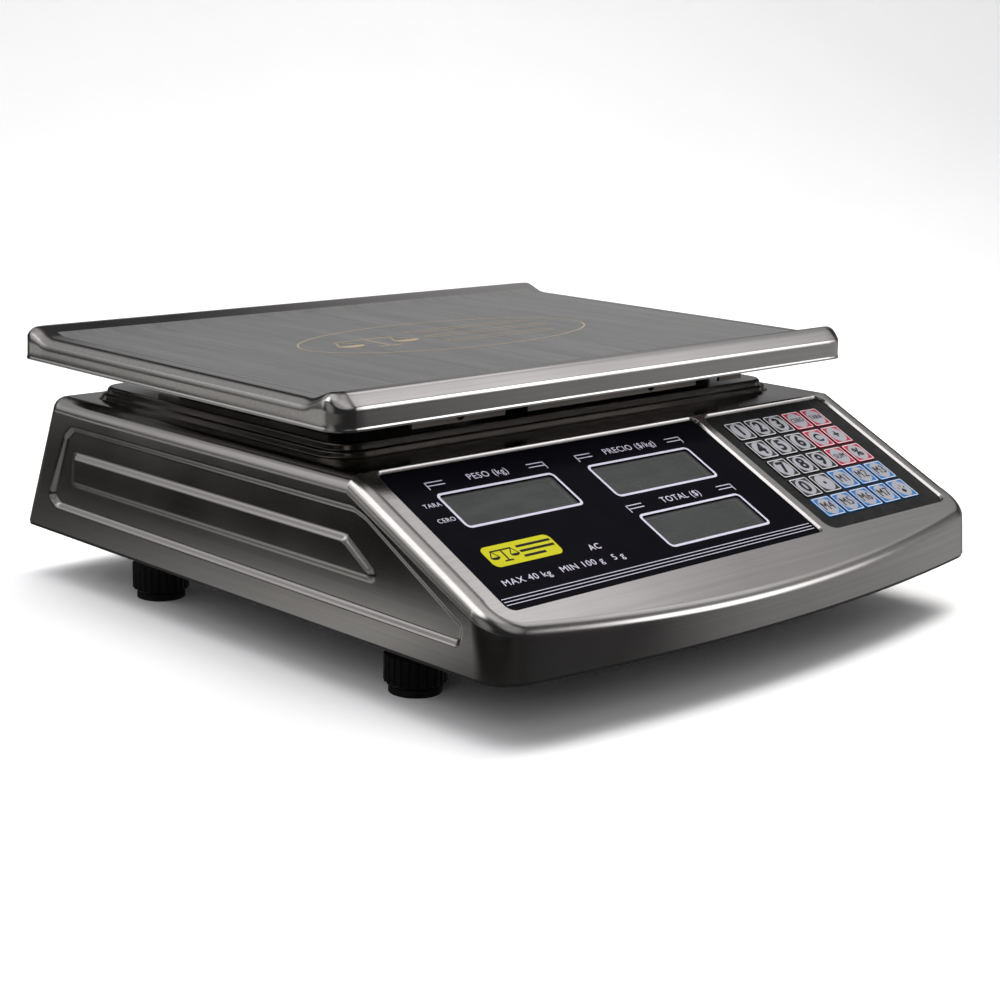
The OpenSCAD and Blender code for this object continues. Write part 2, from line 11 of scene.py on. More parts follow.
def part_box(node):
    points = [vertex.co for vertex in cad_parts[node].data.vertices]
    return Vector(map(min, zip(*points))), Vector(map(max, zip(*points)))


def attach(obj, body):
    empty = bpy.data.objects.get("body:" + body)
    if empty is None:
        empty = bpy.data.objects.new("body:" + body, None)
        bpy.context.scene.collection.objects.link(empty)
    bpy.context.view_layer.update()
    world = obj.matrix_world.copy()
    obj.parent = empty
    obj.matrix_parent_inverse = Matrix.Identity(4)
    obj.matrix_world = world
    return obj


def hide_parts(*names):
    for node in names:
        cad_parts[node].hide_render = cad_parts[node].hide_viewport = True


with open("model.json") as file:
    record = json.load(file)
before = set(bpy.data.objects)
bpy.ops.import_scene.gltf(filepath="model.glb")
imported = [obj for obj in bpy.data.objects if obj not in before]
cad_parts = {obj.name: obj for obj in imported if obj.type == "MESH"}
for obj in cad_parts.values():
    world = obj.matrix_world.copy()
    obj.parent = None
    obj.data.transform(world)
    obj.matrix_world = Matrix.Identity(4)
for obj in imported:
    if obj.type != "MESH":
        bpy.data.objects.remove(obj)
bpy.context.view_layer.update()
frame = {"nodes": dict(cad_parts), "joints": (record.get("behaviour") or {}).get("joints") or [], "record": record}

MM = 0.001
TAU = 2 * math.pi

# ---- camera ---------------------------------------------------------------------------------

CAMERA_AT = Vector((-0.6239, -0.6211, 0.2517))
CAMERA_YAW = 45.005
CAMERA_PITCH = 13.223
CAMERA_ROLL = 1.642
CAMERA_LENS_MM = 68.61


def add_camera():
    yaw, pitch, roll = (math.radians(a) for a in (CAMERA_YAW, CAMERA_PITCH, CAMERA_ROLL))
    ahead = Vector((math.sin(yaw) * math.cos(pitch), math.cos(yaw) * math.cos(pitch), -math.sin(pitch)))
    right = Vector((math.cos(yaw), -math.sin(yaw), 0))
    up = (-ahead).cross(right)
    rolled_right = right * math.cos(roll) + up * math.sin(roll)
    rolled_up = -right * math.sin(roll) + up * math.cos(roll)
    axes = Matrix((rolled_right, rolled_up, -ahead)).transposed()
    data = bpy.data.cameras.new("camera")
    data.lens = CAMERA_LENS_MM
    data.sensor_width = 36
    data.clip_start = 0.01
    camera = bpy.data.objects.new("camera", data)
    camera.matrix_world = Matrix.Translation(CAMERA_AT) @ axes.to_4x4()
    bpy.context.scene.collection.objects.link(camera)
    bpy.context.scene.camera = camera


# ---- lights and room ------------------------------------------------------------------------


def area_light(name, at, target, size, watts, color=(1, 1, 1)):
    """A soft light that metal doesn't mirror: the room's panels are what it mirrors."""
    data = bpy.data.lights.new(name, "AREA")
    data.shape = "RECTANGLE"
    data.size, data.size_y = size
    data.energy = watts
    data.color = color
    light = bpy.data.objects.new(name, data)
    light.location = at
    light.visible_glossy = False
    light.rotation_euler = (Vector(target) - Vector(at)).to_track_quat("-Z", "Y").to_euler()
    bpy.context.scene.collection.objects.link(light)


def fade(tree, value, start, end, low, high):
    """Maps start..end softly to low..high."""
    node = tree.nodes.new("ShaderNodeMapRange")
    node.interpolation_type = "SMOOTHSTEP"
    for key, number in (("From Min", start), ("From Max", end), ("To Min", low), ("To Max", high)):
        node.inputs[key].default_value = number
    tree.links.new(value, node.inputs["Value"])
    return node.outputs["Result"]


def combine(tree, operation, a, b):
    node = tree.nodes.new("ShaderNodeMath")
    node.operation = operation
    tree.links.new(a, node.inputs[0])
    tree.links.new(b, node.inputs[1])
    return node.outputs["Value"]


def add_world():
    """A dim room with soft bright panels, each given by direction, inner and outer angle and strength."""
    world = bpy.data.worlds.new("studio")
    world.use_nodes = True
    tree = world.node_tree
    place = tree.nodes.new("ShaderNodeTexCoord")
    base = tree.nodes.new("ShaderNodeValue")
    base.outputs["Value"].default_value = ROOM_BASE
    glows = []
    for azimuth, elevation, inner, outer, strength in ROOM_PANELS:
        az, el = math.radians(azimuth), math.radians(elevation)
        dot = tree.nodes.new("ShaderNodeVectorMath")
        dot.operation = "DOT_PRODUCT"
        tree.links.new(place.outputs["Generated"], dot.inputs[0])
        dot.inputs[1].default_value = (math.cos(az) * math.cos(el), math.sin(az) * math.cos(el), math.sin(el))
        near, far = (math.cos(math.radians(a)) for a in (inner, outer))
        glows.append(fade(tree, dot.outputs["Value"], far, near, 0, strength))
    total = glows[0]
    for glow in (*glows[1:], base.outputs["Value"]):
        total = combine(tree, "ADD", total, glow)
    background = tree.nodes["Background"]
    background.inputs["Color"].default_value = (0.97, 0.97, 1, 1)
    tree.links.new(total, background.inputs["Strength"])
    bpy.context.scene.world = world


ROOM_BASE = 0.035
# azimuth and elevation, inner and outer angle (all in degrees), strength
ROOM_PANELS = [
    (-29, -5, 8, 25, 0.36),
    (-8, -12, 6, 20, 0.12),
    (-42, 17, 3, 13, 4.0),
    (164, 58, 8, 20, 2.5),
    (134, 17, 6, 21, 0.85),
    (146, 37, 4, 15, 1.5),
    (6, 42, 4, 22, 0.46),
    (14, 47, 2, 8, 1.0),
    (31, 29, 3, 14, 0.40),
    (-14, 46, 5, 16, 0.85),
    (-28, 27, 4, 18, 0.38),
    (104, 42, 10, 30, 0.45),
    (8, -10, 8, 26, 0.20),
    (-90, 50, 12, 32, 0.45),
    (180, 14, 8, 28, 0.30),
    (60, -14, 8, 24, 0.30),
    (47, 13, 5, 18, 0.30),
    (88, -50, 8, 26, 0.30),
    (60, 88, 10, 32, 0.9),
]


def shining(name):
    """A material that only gives light, with the socket of its strength."""
    material = bpy.data.materials.new(name)
    material.use_nodes = True
    tree = material.node_tree
    tree.nodes.remove(tree.nodes["Principled BSDF"])
    glow = tree.nodes.new("ShaderNodeEmission")
    tree.links.new(glow.outputs["Emission"], tree.nodes["Material Output"].inputs["Surface"])
    return material, glow.inputs["Strength"]


def stage_object(name, mesh, material, hidden_from):
    """A piece of the studio, hidden from some kinds of ray."""
    mesh.materials.append(material)
    thing = bpy.data.objects.new(name, mesh)
    bpy.context.scene.collection.objects.link(thing)
    for ray in hidden_from:
        setattr(thing, f"visible_{ray}", False)


def add_bounce_card():
    """A card beside the left wall that only reflections see: bright close to the wall and far from it."""
    bm = bmesh.new()
    corners = [(-1.4, -0.6), (-0.17, -0.6), (-0.17, 1.2), (-1.4, 1.2)]
    bm.faces.new([bm.verts.new((x, y, 0.0005)) for x, y in corners])
    material, strength = shining("bounce_card")
    tree = material.node_tree
    place = tree.nodes.new("ShaderNodeTexCoord")
    split = tree.nodes.new("ShaderNodeSeparateXYZ")
    tree.links.new(place.outputs["Object"], split.inputs["Vector"])
    x, y = split.outputs["X"], split.outputs["Y"]
    near = combine(tree, "MULTIPLY", fade(tree, x, -0.28, -0.24, 0, 0.46), fade(tree, y, -0.05, 0.3, 1, 0.15))
    near = combine(tree, "MULTIPLY", near, fade(tree, y, -0.12, 0.0, 0.06, 1))
    away = fade(tree, x, -0.48, -0.40, 0.50, 0.035)
    far = combine(tree, "MULTIPLY", away, fade(tree, y, 0.22, 0.42, 0.3, 1))
    tree.links.new(combine(tree, "ADD", near, far), strength)
    mesh = bare_mesh(bm, "bounce_card")
    stage_object("bounce_card", mesh, material, ("camera", "diffuse", "shadow", "transmission"))


def add_lights():
    middle = (0, 0, 0.06)
    area_light("key", (0.62, -0.02, 0.86), middle, (0.5, 0.5), 8, (1, 0.98, 0.95))
    area_light("overhead", (-0.2, 0.2, 1.9), middle, (1.6, 1.6), 30)
    area_light("left_fill", (-1.3, -0.9, 0.9), middle, (0.8, 0.8), 6)
    bpy.context.scene.view_settings.view_transform = "Standard"


# ---- materials ------------------------------------------------------------------------------


class Shader:
    """A node material with a Principled surface, built up link by link."""

    def __init__(self, name, color, roughness, metallic=0.0, **sockets):
        self.material = bpy.data.materials.new(name)
        self.material.use_nodes = True
        self.tree = self.material.node_tree
        self.surface = self.tree.nodes["Principled BSDF"]
        self.set("Base Color", (*color, 1))
        self.set("Roughness", roughness)
        self.set("Metallic", metallic)
        for key, value in sockets.items():
            self.set(key.replace("_", " "), value)
        self.color = color

    def set(self, socket, value):
        self.surface.inputs[socket].default_value = value

    def node(self, kind, **values):
        n = self.tree.nodes.new(kind)
        for key, value in values.items():
            n.inputs[key].default_value = value
        return n

    def link(self, a, b):
        self.tree.links.new(a, b)

    def noise(self, scale, detail=3.0, turn=(0, 0, 0), roughness=0.5):
        """Noise over the object's own metres; scale is per axis, so unequal scales make streaks."""
        place = self.node("ShaderNodeTexCoord")
        mapping = self.node("ShaderNodeMapping", Scale=scale, Rotation=turn)
        self.link(place.outputs["Object"], mapping.inputs["Vector"])
        noise = self.node("ShaderNodeTexNoise", Scale=1.0, Detail=detail, Roughness=roughness)
        self.link(mapping.outputs["Vector"], noise.inputs["Vector"])
        return noise.outputs["Fac"]

    def ramp(self, value, stops):
        ramp = self.node("ShaderNodeValToRGB")
        elements = ramp.color_ramp.elements
        while len(elements) < len(stops):
            elements.new(0.5)
        for element, (place, color) in zip(elements, stops):
            element.position = place
            element.color = (*color, 1)
        self.link(value, ramp.inputs["Fac"])
        return ramp.outputs["Color"]

    def tint(self, value, shade):
        """Colour that varies from shade times the base colour to the base colour."""
        dark = tuple(c * shade for c in self.color)
        self.link(self.ramp(value, [(0.3, dark), (0.7, self.color)]), self.surface.inputs["Base Color"])

    def rough(self, value, low, high):
        """Roughness from low to high over 0.2..0.8, where noise mostly lies."""
        self.link(fade(self.tree, value, 0.2, 0.8, low, high), self.surface.inputs["Roughness"])

    def bump(self, value, strength, distance):
        bump = self.node("ShaderNodeBump", Strength=strength, Distance=distance)
        self.link(value, bump.inputs["Height"])
        self.link(bump.outputs["Normal"], self.surface.inputs["Normal"])


def brushed(name, color, roughness, grain):
    """Sheet steel with a fine directional grain and slow smudges."""
    s = Shader(name, color, roughness, metallic=1.0, Anisotropic=0.4)
    streaks = s.noise(grain, detail=4, roughness=0.6)
    smudges = s.noise((18, 18, 18), detail=3)
    s.rough(smudges, roughness * 0.82, roughness * 1.25)
    s.tint(streaks, 0.88)
    s.bump(smudges, 0.015, 0.0004)
    return s.material


def moulded(name, color, roughness, grain=2500, strength=0.15, **sockets):
    """Moulded plastic or rubber: fine pebble, faint mottling."""
    s = Shader(name, color, roughness, **sockets)
    s.tint(s.noise((60, 60, 60), detail=4), 0.7)
    s.rough(s.noise((160, 160, 160), detail=3), roughness * 0.8, min(1, roughness * 1.2))
    s.bump(s.noise((grain, grain, grain), detail=2), strength, 0.0001)
    return s.material


def gloss(name, color, roughness, coat=0.0, **sockets):
    """Glossy print or film, with faint wipe marks in its gloss."""
    s = Shader(name, color, roughness, Coat_Weight=coat, Coat_Roughness=0.04, **sockets)
    s.tint(s.noise((90, 90, 90), detail=2), 0.85)
    s.rough(s.noise((40, 260, 40), detail=4), roughness * 0.7, roughness * 1.5)
    s.bump(s.noise((22, 22, 22), detail=2), 0.04, 0.0004)
    return s.material


def ink(name, color, roughness=0.35):
    s = Shader(name, color, roughness, Specular_IOR_Level=0.1)
    s.tint(s.noise((1200, 1200, 1200), detail=2), 0.88)
    return s.material


def plated(name, color, roughness):
    s = Shader(name, color, roughness, metallic=1.0)
    s.rough(s.noise((400, 400, 400), detail=3), roughness * 0.7, roughness * 1.4)
    s.tint(s.noise((150, 150, 150), detail=3), 0.75)
    return s.material


STEEL = (0.46, 0.44, 0.42)
M = {
    "body": brushed("stainless_body", STEEL, 0.19, (5, 5, 700)),
    "slope": brushed("stainless_console", STEEL, 0.18, (5, 700, 700)),
    "tray": brushed("stainless_tray", (0.50, 0.48, 0.46), 0.18, (5, 700, 700)),
    "frame": brushed("frame_sheet", (0.12, 0.11, 0.10), 0.34, (5, 700, 700)),
    "black_plate": moulded("black_paint", (0.012, 0.012, 0.012), 0.45, grain=900),
    "foot": moulded("foot_plastic", (0.004, 0.004, 0.004), 0.5, grain=1500, Specular_IOR_Level=0.2),
    "rubber": moulded("rubber", (0.006, 0.006, 0.006), 0.8, grain=1200, Specular_IOR_Level=0.2),
    "plastic": moulded("black_plastic", (0.015, 0.015, 0.016), 0.42, grain=2200),
    "zinc": plated("zinc_plate", (0.55, 0.55, 0.53), 0.3),
    "lens": gloss("panel_print", (0.0030, 0.0030, 0.0046), 0.14, Specular_IOR_Level=0.006),
    "keypad": moulded("keypad_film", (0.006, 0.006, 0.006), 0.45, 1700, 0.25, Specular_IOR_Level=0.2),
    "lcd": gloss("lcd_glass", (0.030, 0.032, 0.031), 0.25, Specular_IOR_Level=0.15),
    "pcb": gloss("circuit_board", (0.02, 0.12, 0.05), 0.35),
    "white_ink": ink("white_ink", (0.25, 0.25, 0.275)),
    "dark_ink": ink("dark_ink", (0.006, 0.006, 0.008)),
    "lilac_ink": ink("lilac_ink", (0.46, 0.44, 0.53)),
    "yellow_ink": ink("yellow_ink", (0.40, 0.38, 0.004)),
    "brown_ink": ink("brown_ink", (0.27, 0.215, 0.145), 0.6),
    "key_black": ink("key_black", (0.02, 0.02, 0.022), 0.3),
    "key_red": ink("key_red", (0.30, 0.018, 0.042), 0.3),
    "key_blue": ink("key_blue", (0.012, 0.115, 0.31), 0.3),
    "key_line": ink("key_line", (0.45, 0.45, 0.46), 0.4),
    # painted shade: dark strip inside each window's right and top edges, standing in for the shadow in the gap
    # between lens and LCD
    "lcd_painted_shade": gloss("window_painted_shade", (0.035, 0.036, 0.035), 0.3, Specular_IOR_Level=0.2),
    "wire": moulded("wire_jacket", (0.12, 0.12, 0.13), 0.5),
    "battery": moulded("battery_case", (0.03, 0.03, 0.035), 0.5),
    "iron": moulded("lamination_iron", (0.05, 0.05, 0.055), 0.55, grain=500),
    "aluminium": brushed("milled_aluminium", (0.6, 0.6, 0.6), 0.3, (1500, 60, 1500)),
    "block": moulded("painted_block", (0.12, 0.12, 0.125), 0.45, grain=700),
    "vial": gloss("level_vial", (0.10, 0.16, 0.03), 0.1, coat=0.5),
}


def film_material():
    """Dull protective film: grey haze over steel, with fine streaks on the diagonal and slow ripples."""
    s = Shader("protective_film", (0.17, 0.17, 0.168), 0.40, metallic=0.35, Specular_IOR_Level=0.3)
    turn = (0, 0, math.radians(45))
    streaks = s.noise((700, 6, 6), detail=4, turn=turn, roughness=0.7)
    ripples = s.noise((70, 9, 9), detail=3, turn=turn, roughness=0.6)
    s.tint(streaks, 0.66)
    s.rough(ripples, 0.26, 0.56)
    s.bump(ripples, 0.25, 0.0006)
    return s.material


M["film"] = film_material()

# ---- mesh helpers ---------------------------------------------------------------------------


def new_piece(name, mesh, body, materials, replaces=(), smooth=30.0):
    """A piece that rides a body, with its finish and the CAD nodes that it stands for."""
    piece = bpy.data.objects.new(name, mesh)
    bpy.context.scene.collection.objects.link(piece)
    for material in materials:
        mesh.materials.append(material)
    if smooth:
        mesh.shade_smooth()
        mesh.set_sharp_from_angle(angle=math.radians(smooth))
    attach(piece, body)
    if replaces:
        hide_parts(*replaces)
    return piece


def solidify(piece, thickness):
    """Gives a sheet its thickness, inwards, and keeps its free edges sharp."""
    bm = bmesh.new()
    bm.from_mesh(piece.data)
    for edge in bm.edges:
        if edge.is_boundary:
            edge.smooth = False
    bm.to_mesh(piece.data)
    bm.free()
    m = piece.modifiers.new("sheet", "SOLIDIFY")
    m.thickness = thickness
    m.offset = -1
    m.use_quality_normals = True
    m.use_even_offset = False


def arc(cx, cy, r, a0, a1, n):
    """Points of an arc, degrees, both ends included."""
    steps = [math.radians(a0 + (a1 - a0) * i / n) for i in range(n + 1)]
    return [(cx + r * math.cos(a), cy + r * math.sin(a)) for a in steps]


def soft_rect(w, h, r, n=8):
    """Anticlockwise rounded rectangle about the origin."""
    x, y = w / 2 - r, h / 2 - r
    corners = ((x, y), (-x, y), (-x, -y), (x, -y))
    return [p for k, (cx, cy) in enumerate(corners) for p in arc(cx, cy, r, 90 * k, 90 * k + 90, n)]


def ellipse(w, h, n=40):
    return [(w / 2 * math.cos(TAU * i / n), h / 2 * math.sin(TAU * i / n)) for i in range(n)]


def moved(outline, at):
    return [(x + at[0], y + at[1]) for x, y in outline]


def offset_in(outline, d):
    """A closed anticlockwise outline moved in by d."""
    out = []
    n = len(outline)
    for i in range(n):
        a, b, c = (Vector(outline[(i + k) % n]) for k in (-1, 0, 1))
        u, v = (b - a).normalized(), (c - b).normalized()
        nu, nv = Vector((-u.y, u.x)), Vector((-v.y, v.x))
        out.append(tuple(b + d * (nu + nv) / (1 + u.dot(v))))
    return out


def unique(points):
    """Drops points that repeat the one before."""
    out = []
    for p in points:
        if not out or math.dist(p, out[-1]) > 1e-8:
            out.append(p)
    if math.dist(out[0], out[-1]) < 1e-8:
        out.pop()
    return out


def lerp(a, b, t):
    return a + (b - a) * t


def spaced(a, b, n):
    """n + 1 evenly spaced values from a to b."""
    return [lerp(a, b, i / n) for i in range(n + 1)]


def smooth_step(t):
    t = min(1.0, max(0.0, t))
    return t * t * (3 - 2 * t)


def add_ring(bm, points):
    return [bm.verts.new(p) for p in points]


def bridge(bm, a, b, material=0, skip=()):
    """Faces between two closed rings of vertices, but for the skipped columns."""
    n = len(a)
    for i in range(n):
        if i not in skip:
            j = (i + 1) % n
            face = bm.faces.new((a[i], a[j], b[j], b[i]))
            face.material_index = material


def loft(bm, rings, material=0, skip=()):
    for a, b in zip(rings, rings[1:]):
        bridge(bm, a, b, material, skip)


def fill_planar(bm, loops, normal, material=0):
    """Fills the flat region between closed loops of vertices: the first is its edge, the others are holes."""
    edges = []
    for loop in loops:
        for i, v in enumerate(loop):
            w = loop[(i + 1) % len(loop)]
            edges.append(bm.edges.get((v, w)) or bm.edges.new((v, w)))
    made = bmesh.ops.triangle_fill(bm, use_beauty=True, use_dissolve=False, edges=edges)["geom"]
    for face in (g for g in made if isinstance(g, bmesh.types.BMFace)):
        face.material_index = material
        face.normal_update()
        if face.normal.dot(normal) < 0:
            face.normal_flip()


def bare_mesh(bm, name):
    mesh = bpy.data.meshes.new(name)
    bm.to_mesh(mesh)
    bm.free()
    return mesh


def to_mesh(bm, name, merge=1e-6):
    """Closes the seams, drops empty faces and turns all faces outwards."""
    bmesh.ops.remove_doubles(bm, verts=bm.verts[:], dist=merge)
    bmesh.ops.dissolve_degenerate(bm, edges=bm.edges[:], dist=1e-7)
    bmesh.ops.recalc_face_normals(bm, faces=bm.faces[:])
    return bare_mesh(bm, name)


# ---- places, from the frame -----------------------------------------------------------------

BODY_LO, BODY_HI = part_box("housing")
PLATTER_LO, PLATTER_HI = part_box("platter")
JOINTS = {j["name"]: j for j in frame["joints"]}
CONSOLE_NORMAL = -Vector(JOINTS["key_r1c1_press"]["axis"]).normalized()
SLOPE = -CONSOLE_NORMAL.y / CONSOLE_NORMAL.z
SLOPE_ANGLE = math.atan(SLOPE)

TOP_Z = 90.5 * MM
SHOULDER = Vector((0, -69.3 * MM, TOP_Z))
BACK_TOP_Y = 143.5 * MM
BACK_FOOT = Vector((0, 170.5 * MM, 25 * MM))
BACK_LEAN = (BACK_FOOT.y - BACK_TOP_Y) / (TOP_Z - BACK_FOOT.z)
BACK_ANGLE = math.atan(BACK_LEAN)

CONSOLE = Matrix.Translation(SHOULDER) @ Matrix.Rotation(SLOPE_ANGLE, 4, "X")
BACK_TURN = Matrix.Rotation(math.pi, 4, "Z") @ Matrix.Rotation(math.pi / 2 - BACK_ANGLE, 4, "X")
BACK_WALL = Matrix.Translation(BACK_FOOT) @ BACK_TURN


def plane_normal(place):
    return (place.to_3x3() @ Vector((0, 0, 1))).normalized()


def local_box(node, place):
    """Middle and size of a flat CAD node, in the frame of the plane that it lies on."""
    inverse = place.inverted()
    points = [inverse @ v.co for v in frame["nodes"][node].data.vertices]
    low = Vector([min(p[i] for p in points) for i in range(3)])
    high = Vector([max(p[i] for p in points) for i in range(3)])
    return (low + high) / 2, high - low


LENS_MID, LENS_SIZE = local_box("display_lens", CONSOLE)
KEYPAD_MID, KEYPAD_SIZE = local_box("keypad_panel", CONSOLE)
REAR_MID, REAR_SIZE = local_box("rear_lens", BACK_WALL)
INLET_MID = local_box("power_inlet", BACK_WALL)[0]

# ---- housing --------------------------------------------------------------------------------

BODY_HALF_W = (BODY_HI.x - BODY_LO.x) / 2
BODY_X = (BODY_HI.x + BODY_LO.x) / 2
BODY_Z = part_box("base_plate")[1].z
FRONT_BOW = 14 * MM
FRONT_LEAN = 0.1
FRONT_R = 16 * MM
BACK_R = 7 * MM
EDGE_R = 7 * MM
EDGE_STEPS = 7
WALL_ROWS = 104
SHOULDER_R = 2 * MM
SHOULDER_REACH = SHOULDER_R * math.tan(SLOPE_ANGLE / 2)
SHOULDER_YS = (SHOULDER.y - SHOULDER_REACH * math.cos(SLOPE_ANGLE), SHOULDER.y + SHOULDER_REACH)


def point_at(col, z):
    """Point of the body's plan at height z. A column is a stretch of the plan and a place, 0 to 1, on it."""
    kind, t = col
    w = BODY_HALF_W
    front = BODY_LO.y + FRONT_LEAN * (z - BODY_Z)
    back = BACK_FOOT.y - BACK_LEAN * (z - BACK_FOOT.z)
    bow_r = (w * w + FRONT_BOW**2) / (2 * FRONT_BOW)
    bow_y = front + bow_r
    fx = w - FRONT_R
    fy = bow_y - math.sqrt((bow_r - FRONT_R) ** 2 - fx * fx)
    if kind == "back":
        return BODY_X + lerp(w - BACK_R, -w + BACK_R, t), back
    if kind in ("left", "right"):
        return BODY_X + (w if kind == "right" else -w), side_y(t, fy, back - BACK_R)
    swing = math.degrees(math.asin(fx / (bow_r - FRONT_R)))
    cx, cy, r, start, end = {
        "front": (0, bow_y, bow_r, -90 - swing, swing - 90),
        "front_right": (fx, fy, FRONT_R, swing - 90, 0),
        "back_right": (w - BACK_R, back - BACK_R, BACK_R, 0, 90),
        "back_left": (-w + BACK_R, back - BACK_R, BACK_R, 90, 180),
        "front_left": (-fx, fy, FRONT_R, 180, 270 - swing),
    }[kind]
    a = math.radians(lerp(start, end, t))
    return BODY_X + (cx + r * math.cos(a)), cy + r * math.sin(a)


# between these two places on a side, in y and in t, the columns stand upright
SIDE_FIXED = (-125 * MM, 100 * MM)
SIDE_FIXED_T = (0.1, 0.85)


def side_y(t, low, high):
    """Place of a side's column: fixed between the fixed places, stretched to the corners outside them."""
    (a, b), (ta, tb) = SIDE_FIXED, SIDE_FIXED_T
    if t < ta:
        return lerp(low, a, t / ta)
    if t > tb:
        return lerp(b, high, (t - tb) / (1 - tb))
    return lerp(a, b, (t - ta) / (tb - ta))


def side_t(y):
    (a, b), (ta, tb) = SIDE_FIXED, SIDE_FIXED_T
    return ta + (tb - ta) * (y - a) / (b - a)


def roof_height(y):
    """Flat top, round shoulder, console slope."""
    if y >= SHOULDER_YS[1]:
        return TOP_Z
    if y <= SHOULDER_YS[0]:
        return TOP_Z + SLOPE * (y - SHOULDER.y)
    return TOP_Z - SHOULDER_R + math.sqrt(max(SHOULDER_R**2 - (SHOULDER_YS[1] - y) ** 2, 0))


def body_columns():
    """Columns of the wall, anticlockwise from the front left corner, closer together on the shoulder."""
    shoulder = [side_t(y) for y in spaced(*SHOULDER_YS, 6)]
    sides = [t for t in spaced(0, 1, 340) if t < shoulder[0] - 0.001 or t > shoulder[-1] + 0.001]
    sides = sorted(sides + shoulder)

    def even(kind, n):
        return [(kind, t) for t in spaced(0, 1, n)[:-1]]

    cols = even("front", 90) + even("front_right", 12) + [("right", t) for t in sides[:-1]]
    cols += even("back_right", 10) + even("back", 40) + even("back_left", 10)
    return cols + [("left", t) for t in sides[:0:-1]] + even("front_left", 12)


def polygon_distance(p, corners):
    """Signed distance from a point to a convex anticlockwise outline, below zero inside."""
    worst = -1e9
    n = len(corners)
    for i in range(n):
        (ax, ay), (bx, by) = corners[i], corners[(i + 1) % n]
        dx, dy = bx - ax, by - ay
        length = math.hypot(dx, dy)
        worst = max(worst, ((p[0] - ax) * dy - (p[1] - ay) * dx) / length)
    if worst <= 0:
        return worst
    nearest = 1e9
    for i in range(n):
        (ax, ay), (bx, by) = corners[i], corners[(i + 1) % n]
        dx, dy = bx - ax, by - ay
        t = max(0, min(1, ((p[0] - ax) * dx + (p[1] - ay) * dy) / (dx * dx + dy * dy)))
        nearest = min(nearest, math.hypot(p[0] - ax - t * dx, p[1] - ay - t * dy))
    return nearest


EMBOSS_OUTER = [
    (y * MM, z * MM)
    for y, z in (
        (-134, 37.5), (140, 39), (145.5, 43), (131.5, 73), (126, 77.5), (-73, 77.5), (-80, 75.3),
        (-135, 44.5),
    )
]
EMBOSS_PAD = [(y * MM, z * MM) for y, z in ((-88, 51.3), (127.5, 51.3), (126, 65), (-67.5, 65))]
OUTER_R, PAD_R = 3 * MM, 2 * MM
EMBOSS_OUTER_CORE = offset_in(EMBOSS_OUTER, OUTER_R)
EMBOSS_PAD_CORE = offset_in(EMBOSS_PAD, PAD_R)
EMBOSS_STEP = 2.8 * MM
EMBOSS_DEPTH = 1.6 * MM


def emboss_depth(y, z):
    outer = polygon_distance((y, z), EMBOSS_OUTER_CORE) - OUTER_R
    pad = polygon_distance((y, z), EMBOSS_PAD_CORE) - PAD_R
    sunk = smooth_step(0.5 - outer / EMBOSS_STEP)
    raised = smooth_step(0.5 - pad / EMBOSS_STEP)
    return EMBOSS_DEPTH * sunk * (1 - raised)


def edge_points(wall, roof_dir, wall_dir, r, n):
    """Round edge between a wall going up to the point and a roof going in from it."""
    inner = math.acos(max(-1, min(1, (-wall_dir).dot(roof_dir))))
    reach = r / math.tan(inner / 2)
    a, c = wall - wall_dir * reach, wall + roof_dir * reach
    weight = math.sin(inner / 2)
    points = []
    for i in range(n + 1):
        t = i / n
        ka, kb, kc = (1 - t) ** 2, 2 * t * (1 - t) * weight, t * t
        points.append((a * ka + wall * kb + c * kc) / (ka + kb + kc))
    return points


def panel_loop(place, mid, size, r, grow, h, n=8):
    """A rounded rectangle about mid on a plane, grown outwards by grow, at height h over the plane."""
    outline = soft_rect(size.x + 2 * grow, size.y + 2 * grow, r + grow, n)
    return [place @ Vector((mid.x + x, mid.y + y, h)) for x, y in outline]


LIP = [(1.5, 0), (1.3, -0.06), (1.1, -0.22), (0.35, -1.1), (0.22, -1.4), (0.2, -2.4), (-1.5, -2.4)]
LIP_GUARD = 0.12


def add_tray(bm, place, mid, size, r):
    """The pressed tray round a panel: returns its outer loop, for the hole in the sheet."""
    rings = [add_ring(bm, panel_loop(place, mid, size, r, g * MM, h * MM)) for g, h in LIP]
    loft(bm, rings)
    outer = add_ring(bm, panel_loop(place, mid, size, r, (LIP[0][0] + LIP_GUARD) * MM, 0))
    bridge(bm, outer, rings[0])
    return outer


PLATEAU = [
    (2.4, 0), (1.9, 0.05), (1.2, 0.5), (0.6, 1.9), (0, 2.5),
    (-1.0, 2.7), (-1.6, 3.0), (-2.0, 4.6), (-2.9, 5.4), (-4, 5.5),
]
PLATEAU_MID = Vector((0, 41.5 * MM))
PLATEAU_SIZE = Vector((284 * MM, 179 * MM))
PLATEAU_R = 14 * MM
NECK_MID = Vector((47.5 * MM, 41 * MM))
NECK_SIZE = Vector((46 * MM, 40 * MM))
NECK_R = 3 * MM
LENS_R = 2.5 * MM
KEYPAD_R = 4.5 * MM
REAR_TRAY_R = 3 * MM
INLET_HOLE = Vector((26 * MM, 18 * MM))
INLET_HOLE_R = 1 * MM
BODY_SHEET = 1.1 * MM
ON_SLOPE = 1


